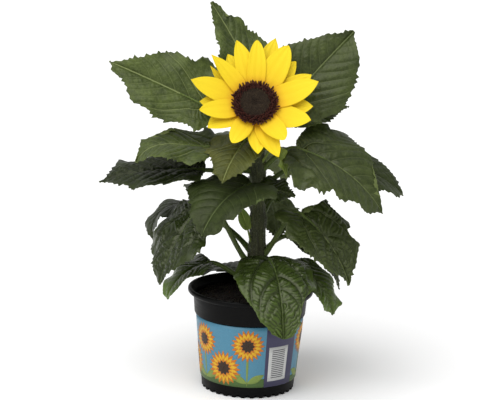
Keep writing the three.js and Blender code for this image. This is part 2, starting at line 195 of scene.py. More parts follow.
# a closed tube along a path; radii may be one value or a row of values for each ring
def tubeBody(path, radii, sides):
    path = np.asarray(path, float)
    along = np.gradient(path, axis=0)
    along /= np.linalg.norm(along, axis=1)[:, None]
    side = np.array([1.0, 0, 0])
    angle = 2 * np.pi * np.arange(sides) / sides
    rings = []
    for point, axis, radius in zip(path, along, radii):
        side = side - axis * side.dot(axis)
        side /= np.linalg.norm(side)
        across = np.outer(np.sin(angle) * radius, np.cross(axis, side))
        rings.append(point + np.outer(np.cos(angle) * radius, side) + across)
    return ringBody(rings, False)


# skins rings of points; open ends get a centre point each
def ringBody(rings, joined):
    count = len(rings[0])
    points = np.vstack(rings)
    j = np.arange(count)
    k = (j + 1) % count
    faces = []
    for i in range(len(rings) if joined else len(rings) - 1):
        here = i * count
        there = ((i + 1) % len(rings)) * count
        faces += np.column_stack([here + j, here + k, there + k, there + j]).tolist()
    if not joined:
        first = len(points)
        points = np.vstack([points, rings[0].mean(0), rings[-1].mean(0)])
        last = (len(rings) - 1) * count
        faces += np.column_stack([np.full(count, first), k, j]).tolist()
        faces += np.column_stack([np.full(count, first + 1), last + j, last + k]).tolist()
    return points, faces


def turnedRings(profile, steps):
    angle = 2 * np.pi * np.arange(steps) / steps
    x = np.cos(angle)
    y = np.sin(angle)
    return [np.column_stack([r * x, r * y, np.full(steps, float(z))]) for r, z in profile]


# rounds the corners of a closed profile of [radius, height]
def eased(profile, radius, steps=4):
    points = np.asarray(profile, float)
    result = []
    for i, corner in enumerate(points):
        before = points[i - 1] - corner
        after = points[(i + 1) % len(points)] - corner
        reachBefore = min(radius, 0.45 * np.linalg.norm(before))
        reachAfter = min(radius, 0.45 * np.linalg.norm(after))
        start = corner + before / np.linalg.norm(before) * reachBefore
        end = corner + after / np.linalg.norm(after) * reachAfter
        for t in np.linspace(0, 1, steps):
            result.append(start * (1 - t) ** 2 + corner * 2 * t * (1 - t) + end * t * t)
    return result


def joinBodies(bodies):
    points = []
    faces = []
    offset = 0
    for some, their in bodies:
        points.append(some)
        faces += [[i + offset for i in face] for face in their]
        offset += len(some)
    return np.vstack(points), faces


# unit normals of a grid of points
def skinNormals(surface):
    normal = np.cross(np.gradient(surface, axis=1), np.gradient(surface, axis=0))
    return normal / (np.linalg.norm(normal, axis=2)[..., None] + 1e-9)


def spinAbout(turn):  # radians about the up axis, for rows of points
    return np.array([[math.cos(turn), math.sin(turn), 0], [-math.sin(turn), math.cos(turn), 0], [0, 0, 1]])


def direction(turn, rise):  # degrees, also arrays of them
    turn = np.radians(turn)
    rise = np.radians(rise)
    return np.stack([np.cos(turn) * np.cos(rise), np.sin(turn) * np.cos(rise), np.sin(rise)], -1)


def bezier(a, b, c, d, count):
    t = np.linspace(0, 1, count)[:, None]
    return a * (1 - t) ** 3 + 3 * b * t * (1 - t) ** 2 + 3 * c * t * t * (1 - t) + d * t**3


# geometry node trees

def startTree(name, sockets):
    tree = bpy.data.node_groups.new(name, "GeometryNodeTree")
    for label, kind in sockets.items():
        tree.interface.new_socket(name=label, in_out="INPUT", socket_type="NodeSocket" + kind)
    tree.interface.new_socket(name="Geometry", in_out="OUTPUT", socket_type="NodeSocketGeometry")
    return tree, addNode(tree, "NodeGroupInput").outputs


def endTree(tree, geometry, material):
    whole = addNode(tree, "GeometryNodeRealizeInstances", None, {"Geometry": geometry})
    inputs = {"Geometry": whole, "Material": material}
    dressed = addNode(tree, "GeometryNodeSetMaterial", None, inputs)
    addNode(tree, "NodeGroupOutput", None, {0: dressed})


def grow(name, tree, values, carrier=None):
    mesh = carrier.data.copy() if carrier else bpy.data.meshes.new(name)
    grown = bpy.data.objects.new(name, mesh)
    bpy.context.collection.objects.link(grown)
    modifier = grown.modifiers.new("grow", "NODES")
    modifier.node_group = tree
    for item in tree.interface.items_tree:
        if item.in_out == "INPUT" and item.name in values:
            modifier[item.identifier] = values[item.name]
    graph = bpy.context.evaluated_depsgraph_get()
    plain = bpy.data.meshes.new_from_object(grown.evaluated_get(graph), depsgraph=graph)
    grown.modifiers.remove(modifier)
    grown.data = plain
    plain.shade_smooth()
    return grown


# a small mesh that a tree repeats; it is removed when the tree has run
def pattern(name, points, faces):
    mesh = bpy.data.meshes.new(name)
    mesh.from_pydata((np.asarray(points, float) * mm).tolist(), [], faces)
    part = bpy.data.objects.new(name, mesh)
    bpy.context.collection.objects.link(part)
    return part


# pot, sleeve and soil

pot = {"base": 44.4, "shoulder": 51.2, "shoulderHeight": 72, "collarBottom": 53.2, "collarTop": 54.6,
       "lipHeight": 91, "lipRadius": 60, "height": 97.4, "wall": 1.5, "floor": 3, "notches": 32,
       "notchDepth": 3, "notchWidth": 5, "notchReach": 4, "stepsPerNotch": 14}
wallSlope = (pot["shoulder"] - pot["base"]) / pot["shoulderHeight"]


def wallRadius(height):
    return pot["base"] + wallSlope * height


def potFinish():
    # injection-moulded black polypropylene: satin, faintly streaked round the wall, dusty and scuffed
    material, tree, coords = startMaterial("mouldedPolypropylene")
    flow = addNode(tree, "ShaderNodeMapping", None, {"Vector": coords, "Scale": (0.12, 0.12, 1)})
    streaks = addNode(tree, "ShaderNodeTexNoise", None,
                      {"Vector": flow, "Scale": perSize(3), "Detail": 4, "Roughness": 0.6})
    dust = addNode(tree, "ShaderNodeTexNoise", None,
                   {"Vector": coords, "Scale": perSize(9), "Detail": 6, "Roughness": 0.65})
    dusty = addNode(tree, "ShaderNodeMapRange", None, {0: dust, 1: 0.5, 2: 0.8, 3: 0.0, 4: 0.35})
    colour = addNode(tree, "ShaderNodeMix", {"data_type": "RGBA"},
                     {0: dusty, 6: linear("050505"), 7: linear("15130f")})
    roughness = addNode(tree, "ShaderNodeMapRange", None, {0: streaks, 1: 0.3, 2: 0.7, 3: 0.34, 4: 0.5})
    grain = addNode(tree, "ShaderNodeTexNoise", None, {"Vector": coords, "Scale": perSize(1.1), "Detail": 2})
    relief = addNode(tree, "ShaderNodeBump", None, {"Height": grain, "Strength": 0.12, "Distance": 0.1 * mm})
    return endMaterial(material, {"Base Color": colour, "Roughness": roughness, "Normal": relief, "IOR": 1.49,
                                  "Specular IOR Level": 0.09})


def makePot():
    lip, rim, under, wall = pot["lipRadius"], pot["height"], pot["lipHeight"], pot["wall"]
    shoulder, collar = pot["shoulderHeight"], pot["shoulderHeight"] + 1
    outer = [[pot["base"], 0], [pot["shoulder"], shoulder], [pot["collarBottom"], collar],
             [pot["collarTop"], under], [lip - 0.9, under + 1.6], [lip, under + 2.8], [lip, rim - 1.6],
             [lip - 0.7, rim - 0.4], [lip - 1.9, rim], [lip - 3.2, rim - 0.5], [lip - 3.8, rim - 1.8],
             [pot["collarTop"] - wall, under], [pot["collarBottom"] - wall, collar],
             [pot["shoulder"] - wall, shoulder], [wallRadius(pot["floor"]) - wall, pot["floor"]]]
    rounded = eased([[0, -40]] + outer + [[0, pot["floor"]]], 0.7)
    inside = rounded[8:-4]  # the points on the axis only shape their neighbours, the foot has its own rows
    footRows = [[wallRadius(z), z] for z in (0.0, 0.4, 0.8, 1.2, 1.6, 2.0, 2.4, 2.8, 3.2, 4.0)]
    land = pot["base"] - pot["notchReach"]
    profile = [[4, 0], [land * 0.5, 0], [land, 0], [land + 0.05, 0.02]] + footRows + inside
    rings = turnedRings(profile + [[20, pot["floor"]], [4, pot["floor"]]],
                        pot["notches"] * pot["stepsPerNotch"])
    for ring in rings:
        radius = np.hypot(ring[:, 0], ring[:, 1])
        angle = np.arctan2(ring[:, 1], ring[:, 0]) * pot["notches"] / (2 * np.pi)
        offset = (angle - np.round(angle)) * 2 * np.pi / pot["notches"] * radius
        arch = pot["notchDepth"] * np.sqrt(np.clip(1 - (2 * offset / pot["notchWidth"]) ** 2, 0, 1))
        ring[:, 2] = np.where(radius > land + 0.04, np.maximum(ring[:, 2], arch), ring[:, 2])
    points, faces = ringBody(rings, False)
    addPiece("nursery_pot", points, faces, potFinish(), ["pot"])


sleeve = {"bottom": 11.3, "top": 71.6, "gap": 0.3, "thickness": 0.4, "steps": 224, "rows": 12,
          "film": "4f859e",
          "inks": {"yellow": "d9a824", "orange": "c2701f", "brown": "38281c", "green": "47612f",
                   "leafGreen": "7b8f45", "slate": "3f3d58", "white": "c9cac8", "grey": "4a4a50"},
          "hills": [[2.5, 5], [1.2, 13]], "hillHeight": 8,  # waves as [height, how many round the pot]
          "panel": (-71, -31), "block": (-67, -42), "blockHeights": (17, 51), "bars": 15}
# printed flowers, alternately high and low; each ring of blades has its ink, how many blades, first turn
# and step in degrees, inner radius, length, width and lift off the film
rosettes = {"count": 11, "first": 20, "pitch": 28, "sizes": (1.2, 1.3), "heights": (53, 29), "ink": 0.04,
            "rings": [["orange", 20, 0, 18, 4, 10, 3.9, 0.12], ["yellow", 18, 9, 20, 3, 8.6, 3.4, 0.2],
                      ["orange", 16, 0, 22.5, 3, 5, 2.2, 0.26], ["brown", 10, 0, 36, -0.6, 6, 4, 0.32]]}


def sleeveFinish(name, hexCode, roughness=0.42):
    # gravure-printed polypropylene film: flat ink under a satin surface with a fine screen of dots
    material, tree, coords = startMaterial(name)
    screen = addNode(tree, "ShaderNodeTexNoise", None,
                     {"Vector": coords, "Scale": perSize(0.9), "Detail": 3, "Roughness": 0.7})
    shade = addNode(tree, "ShaderNodeMapRange", None, {0: screen, 1: 0.3, 2: 0.7, 3: 0.0, 4: 1.0})
    deep = [c * 0.8 for c in linear(hexCode)[:3]] + [1]
    colour = addNode(tree, "ShaderNodeMix", {"data_type": "RGBA"}, {0: shade, 6: deep, 7: linear(hexCode)})
    return endMaterial(material, {"Base Color": colour, "Roughness": roughness, "IOR": 1.49,
                                  "Specular IOR Level": 0.3})


def sleeveRadius(height, lift=0.0):
    return wallRadius(height) + sleeve["gap"] + sleeve["thickness"] + lift


# a closed printed patch between two angles and two heights; waves as [height, count] shape its upper edge
def printedPatch(angles, low, high, lift, waves=(), columns=40, rows=6, ink=0.04):
    turn = np.radians(np.linspace(angles[0], angles[1], columns))[::-1]
    edge = high + 0 * turn
    for size, count in waves:
        edge = edge + size * np.sin(count * turn)
    height = np.array([low * (1 - t) + edge * t for t in np.linspace(0, 1, rows)])
    layers = []
    for depth in (lift + ink, lift):
        radius = sleeveRadius(height, depth)
        layers.append(np.stack([radius * np.cos(turn), radius * np.sin(turn), height], -1))
    points, faces, _ = sheetBody(layers[0], layers[1], False, False)
    return points, faces


# blades round a centre, laid on the tapered sleeve: a rosette, a pair of leaves or one long stem
def rosetteTree():
    tree, given = startTree("printedRosette", {
        "Blades": "Int", "First": "Float", "Step": "Float", "Inner": "Float", "Length": "Float",
        "Width": "Float", "Angle": "Float", "Height": "Float", "Lift": "Float", "Ink": "Float",
        "Foot": "Float", "Slope": "Float", "Material": "Material"})
    blank = addNode(tree, "GeometryNodeMeshCube", None,
                    {"Size": (1, 1, 1), "Vertices X": 9, "Vertices Y": 5, "Vertices Z": 2})
    place = addNode(tree, "GeometryNodeInputPosition").outputs[0]
    cube = addNode(tree, "ShaderNodeSeparateXYZ", None, {0: place})
    run = addNode(tree, "ShaderNodeMath", {"operation": "ADD"}, {0: cube.outputs[0], 1: 0.5})
    half = addNode(tree, "ShaderNodeMath", {"operation": "MULTIPLY"}, {0: run, 1: 0.94 * math.pi})
    late = addNode(tree, "ShaderNodeMath", {"operation": "ADD"}, {0: half, 1: 0.09})
    bow = addNode(tree, "ShaderNodeMath", {"operation": "SINE"}, {0: late})
    stretch = addNode(tree, "ShaderNodeMath", {"operation": "MULTIPLY"}, {0: run, 1: given["Length"]})
    out = addNode(tree, "ShaderNodeMath", {"operation": "ADD"}, {0: stretch, 1: given["Inner"]})
    broad = addNode(tree, "ShaderNodeMath", {"operation": "MULTIPLY"},
                    {0: cube.outputs[1], 1: given["Width"]})
    lens = addNode(tree, "ShaderNodeMath", {"operation": "MULTIPLY"}, {0: broad, 1: bow})
    thick = addNode(tree, "ShaderNodeMath", {"operation": "MULTIPLY"}, {0: cube.outputs[2], 1: given["Ink"]})
    shape = addNode(tree, "ShaderNodeCombineXYZ", None, {0: out, 1: lens, 2: thick})
    blade = addNode(tree, "GeometryNodeSetPosition", None, {"Geometry": blank, "Position": shape})
    centres = addNode(tree, "GeometryNodePoints", None, {"Count": given["Blades"]})
    index = addNode(tree, "GeometryNodeInputIndex").outputs[0]
    swing = addNode(tree, "ShaderNodeMath", {"operation": "MULTIPLY_ADD"},
                    {0: index, 1: given["Step"], 2: given["First"]})
    spin = addNode(tree, "ShaderNodeCombineXYZ", None, {2: swing})
    fan = addNode(tree, "GeometryNodeInstanceOnPoints", None,
                  {"Points": centres, "Instance": blade, "Rotation": spin})
    flat = addNode(tree, "GeometryNodeRealizeInstances", None, {"Geometry": fan})
    plane = addNode(tree, "ShaderNodeSeparateXYZ", None, {0: place})
    height = addNode(tree, "ShaderNodeMath", {"operation": "ADD"}, {0: plane.outputs[1], 1: given["Height"]})
    wall = addNode(tree, "ShaderNodeMath", {"operation": "MULTIPLY_ADD"},
                   {0: height, 1: given["Slope"], 2: given["Foot"]})
    raised = addNode(tree, "ShaderNodeMath", {"operation": "ADD"}, {0: wall, 1: given["Lift"]})
    radius = addNode(tree, "ShaderNodeMath", {"operation": "ADD"}, {0: raised, 1: plane.outputs[2]})
    arc = addNode(tree, "ShaderNodeMath", {"operation": "DIVIDE"}, {0: plane.outputs[0], 1: wall})
    angle = addNode(tree, "ShaderNodeMath", {"operation": "ADD"}, {0: arc, 1: given["Angle"]})
    cosine = addNode(tree, "ShaderNodeMath", {"operation": "COSINE"}, {0: angle})
    sine = addNode(tree, "ShaderNodeMath", {"operation": "SINE"}, {0: angle})
    x = addNode(tree, "ShaderNodeMath", {"operation": "MULTIPLY"}, {0: radius, 1: cosine})
    y = addNode(tree, "ShaderNodeMath", {"operation": "MULTIPLY"}, {0: radius, 1: sine})
    wrapped = addNode(tree, "ShaderNodeCombineXYZ", None, {0: x, 1: y, 2: height})
    laid = addNode(tree, "GeometryNodeSetPosition", None, {"Geometry": flat, "Position": wrapped})
    endTree(tree, laid, given["Material"])
    return tree


def makeSleeve():
    film = sleeveFinish("printedFilm", sleeve["film"], 0.36)
    heights = np.linspace(sleeve["bottom"], sleeve["top"], sleeve["rows"])
    profile = [[sleeveRadius(z), z] for z in heights]
    profile += [[sleeveRadius(z) - sleeve["thickness"], z] for z in heights[::-1]]
    points, faces = ringBody(turnedRings(profile, sleeve["steps"]), True)
    addPiece("sleeve_film", points, faces, film, ["label_sleeve"])

    inks = {ink: sleeveFinish(ink + "Ink", colour) for ink, colour in sleeve["inks"].items()}
    low, high = sleeve["panel"]
    bottom = sleeve["bottom"]
    blockLow, blockHigh = sleeve["blockHeights"]
    pitchUp = (blockHigh - blockLow - 5) / sleeve["bars"]
    bars = [blockLow + 3 + i * pitchUp for i in range(sleeve["bars"])]
    inset = (sleeve["block"][0] + 4, sleeve["block"][1] - 4)
    printed = {
        "green": [printedPatch((high, low + 360), bottom, bottom + sleeve["hillHeight"], 0.03,
                               sleeve["hills"], 220, 4)],
        "slate": [printedPatch((low, high), bottom, sleeve["top"], 0.02)],
        "white": [printedPatch(sleeve["block"], blockLow, blockHigh, 0.06)],
        "grey": [printedPatch(inset, z, z + pitchUp * 0.45, 0.1, (), 24, 2) for z in bars]}
    for ink, parts in printed.items():
        points, faces = joinBodies(parts)
        addPiece("sleeve_ink_" + ink, points, faces, inks[ink])

    tree = rosetteTree()
    motifs = []

    def motif(angle, height, ink, blades, first, step, inner, length, width, lift):
        motifs.append(grow("motif", tree, {
            "Blades": blades, "First": math.radians(first), "Step": math.radians(step), "Inner": inner * mm,
            "Length": length * mm, "Width": width * mm, "Angle": math.radians(angle), "Height": height * mm,
            "Lift": lift * mm, "Ink": rosettes["ink"] * mm, "Foot": sleeveRadius(0) * mm,
            "Slope": wallSlope, "Material": inks[ink]}))

    for i in range(rosettes["count"]):
        angle = high + rosettes["first"] + i * rosettes["pitch"]
        size = rosettes["sizes"][i % 2]
        height = rosettes["heights"][i % 2]
        motif(angle, height, "leafGreen", 1, -90, 0, 0, height - bottom - 1, 2.2, 0.07)
        motif(angle, bottom + 4, "leafGreen", 2, 28, 124, 0, 15 * size, 7, 0.08)
        for ink, blades, first, step, inner, length, width, lift in rosettes["rings"]:
            motif(angle, height, ink, blades, first, step, inner, length * size, width, lift)
    bpy.ops.object.select_all(action="DESELECT")
    for part in motifs:
        part.select_set(True)
    bpy.context.view_layer.objects.active = motifs[0]
    bpy.ops.object.join()
    motifs[0].name = "sleeve_rosettes"
    placePiece(motifs[0])


soil = {"level": 88, "inset": 1.9, "lift": 0.4, "swell": 0.88, "crumbs": 0.16, "crumbSize": 1.5, "seed": 5,
        "lumps": [[11, 1, 3], [4, 0.7, 4], [1.8, 0.35, 6]]}  # as [size, share of the swell, seed]


def soilFinish():
    # moist milled peat: nearly black, fibrous, with browner dry crumbs and a dull wet gleam
    material, tree, coords = startMaterial("moistPeat")
    clods = addNode(tree, "ShaderNodeTexNoise", None,
                    {"Vector": coords, "Scale": perSize(3), "Detail": 6, "Roughness": 0.7})
    dry = addNode(tree, "ShaderNodeMapRange", None, {0: clods, 1: 0.45, 2: 0.75, 3: 0, 4: 1})
    colour = addNode(tree, "ShaderNodeMix", {"data_type": "RGBA"},
                     {0: dry, 6: linear("140f0d"), 7: linear("33241c")})
    fibres = addNode(tree, "ShaderNodeBump", None,
                     {"Height": clods, "Strength": 0.6, "Distance": 0.6 * mm})
    return endMaterial(material, {"Base Color": colour, "Normal": fibres, "IOR": 1.4, "Roughness": 0.85})


# scatters copies of a small piece over a surface, leaning at random off its normals
def scatterTree():
    tree, given = startTree("scatter", {
        "Geometry": "Geometry", "Piece": "Object", "Density": "Float", "Smallest": "Float",
        "Largest": "Float", "Lean": "Float", "Seed": "Int", "Material": "Material"})
    spread = addNode(tree, "GeometryNodeDistributePointsOnFaces", None,
                     {"Mesh": given["Geometry"], "Density": given["Density"], "Seed": given["Seed"]})
    piece = addNode(tree, "GeometryNodeObjectInfo", None, {"Object": given["Piece"]})
    size = addNode(tree, "FunctionNodeRandomValue", None,
                   {2: given["Smallest"], 3: given["Largest"], "Seed": given["Seed"]})
    less = addNode(tree, "ShaderNodeMath", {"operation": "MULTIPLY"}, {0: given["Lean"], 1: -1})
    lowest = addNode(tree, "ShaderNodeCombineXYZ", None, {0: less, 1: less, 2: -math.pi})
    highest = addNode(tree, "ShaderNodeCombineXYZ", None, {0: given["Lean"], 1: given["Lean"], 2: math.pi})
    lean = addNode(tree, "FunctionNodeRandomValue", {"data_type": "FLOAT_VECTOR"},
                   {0: lowest, 1: highest, "Seed": given["Seed"]})
    turned = addNode(tree, "FunctionNodeEulerToRotation", None, {0: lean})
    stand = addNode(tree, "FunctionNodeRotateRotation", {"rotation_space": "LOCAL"},
                    {0: spread.outputs["Rotation"], 1: turned})
    copies = addNode(tree, "GeometryNodeInstanceOnPoints", None,
                     {"Points": spread, "Instance": piece.outputs["Geometry"],
                      "Rotation": stand, "Scale": size})
    endTree(tree, copies, given["Material"])
    return tree


def makeSoil():
    finish = soilFinish()
    inset = soil["inset"]
    bottom = pot["floor"] + soil["lift"]
    sides = [[wallRadius(pot["floor"]) - inset, bottom], [pot["shoulder"] - inset, pot["shoulderHeight"]],
             [pot["collarBottom"] - inset, pot["shoulderHeight"] + 1],
             [pot["collarTop"] - inset - 0.1, soil["level"] - 1.5]]
    top = [[r, soil["level"]] for r in np.linspace(52, 3, 56)]
    rings = turnedRings([[4, bottom]] + sides + top, 180)
    for ring in rings[5:]:
        for size, share, seed in soil["lumps"]:
            ring[:, 2] += soil["swell"] * share * softNoise(ring[:, 0], ring[:, 1], size, seed)
    points, faces = ringBody(rings, False)
    addPiece("soil_bed", points, faces, finish, ["soil"])

    field = pattern("soilSurface", *surfaceDisc(50))
    crumb = pattern("crumb", [[0, 0, 1], [0.9, 0, 0.3], [0.2, 0.85, 0.4], [-0.8, 0.4, 0.2], [-0.5, -0.8, 0.3],
                              [0.5, -0.7, 0.1], [0, 0, -0.6]],
                    [[0, 1, 2], [0, 2, 3], [0, 3, 4], [0, 4, 5], [0, 5, 1],
                     [6, 2, 1], [6, 3, 2], [6, 4, 3], [6, 5, 4], [6, 1, 5]])
    crumbs = grow("soil_crumbs", scatterTrees, {
        "Piece": crumb, "Density": soil["crumbs"] / mm**2, "Smallest": 0.3 * soil["crumbSize"],
        "Largest": soil["crumbSize"], "Lean": 1.2, "Seed": soil["seed"], "Material": finish}, field)
    for used in (field, crumb):
        bpy.data.objects.remove(used)
    crumbs.data.shade_flat()
    placePiece(crumbs)


# a disc just over the soil, its underside left off, for crumbs to lie on
def surfaceDisc(radius):
    rings = turnedRings([[r, soil["level"] + 0.2] for r in (radius, radius * 0.66, radius * 0.33)], 60)
    points, faces = ringBody(rings, False)
    return points, [face for face in faces if len(points) - 2 not in face]


scatterTrees = scatterTree()
makePot()
makeSleeve()
makeSoil()
print("pot, sleeve and soil made")


# stem

stem = {"top": 262, "foot": 8.2, "taper": 2.4, "footX": 4.5, "sides": 64, "rings": 220, "ribs": 9,
        "ribDepth": 0.35, "knotSwell": 0.9, "knotReach": 4, "mostSwell": 1.3, "flare": 1.6, "flareReach": 6,
        "roughness": 0.18, "neck": 5.6}
head = {"x": -1.5, "y": -30, "z": 279, "tilt": 33, "cupBack": -15}


def stemShare(height):
    return np.clip((height - soil["level"]) / (stem["top"] - soil["level"]), 0, 1)


def stemAxis(height):
    t = stemShare(height)
    return np.array([stem["footX"] + 2.5 * t - 8.5 * t**3, 3 * t - 14 * t**4, height])


def stemRadius(height):
    return stem["foot"] - stem["taper"] * stemShare(height)


headAxis = direction(-90, head["tilt"])
headCentre = np.array([head["x"], head["y"], head["z"]], float)
headUp = np.cross(headAxis, [1, 0, 0])
headFrame = np.column_stack([[1, 0, 0], headUp, headAxis])


def onHead(points):  # from the flower's own axes to the plant's
    return np.asarray(points) @ headFrame.T + headCentre


# leaves

blade = {"lobe": 0.11, "widest": 0.34, "notch": 0.35, "lobeRows": 44, "bladeRows": 96, "columns": 69,
         "thickness": 0.5, "tooth": 2.7, "toothPitch": 5.4, "scallop": 1.9, "scallopPitch": 17,
         "stalkRadius": 2.7, "stalkTip": 1.8, "stalkSides": 12}
# skin of the blade in mm: its ruffled edge, wandering ridges, sunk midrib and laterals, ribs underneath
skin = {"ruffles": [[19, 1, 1.8, 60], [8, 0.45, 3, 70]],  # as [size, share, how near the edge, seed]
        "wander": [[5, 2, 30], [14, 4, 40]],  # as [size, reach, seed]
        "bow": 5, "ridgeEnd": 2.4, "calmEdge": 0.35, "grainSize": 2.6, "grainDepth": 0.12, "sunk": 0.4,
        "ribWidth": 1.7, "ribDepth": 0.7, "creaseWidth": 1.4, "rimShare": 0.12,
        "ridgeUnder": 1.3, "ridgeWidth": 1.5, "veinUnder": 0.5, "veinWidth": 0.9}
# lateral veins: place along the midrib, and strength; the strongest is the pair near the blade's foot
veins = [[-0.45, 0.2], [-0.3, 0.25], [-0.17, 0.4], [-0.06, 0.5], [0.05, 1.0], [0.19, 0.55], [0.33, 0.5],
         [0.46, 0.45], [0.58, 0.4], [0.69, 0.35], [0.79, 0.3], [0.88, 0.25], [1, 0.2], [1.15, 0.2]]
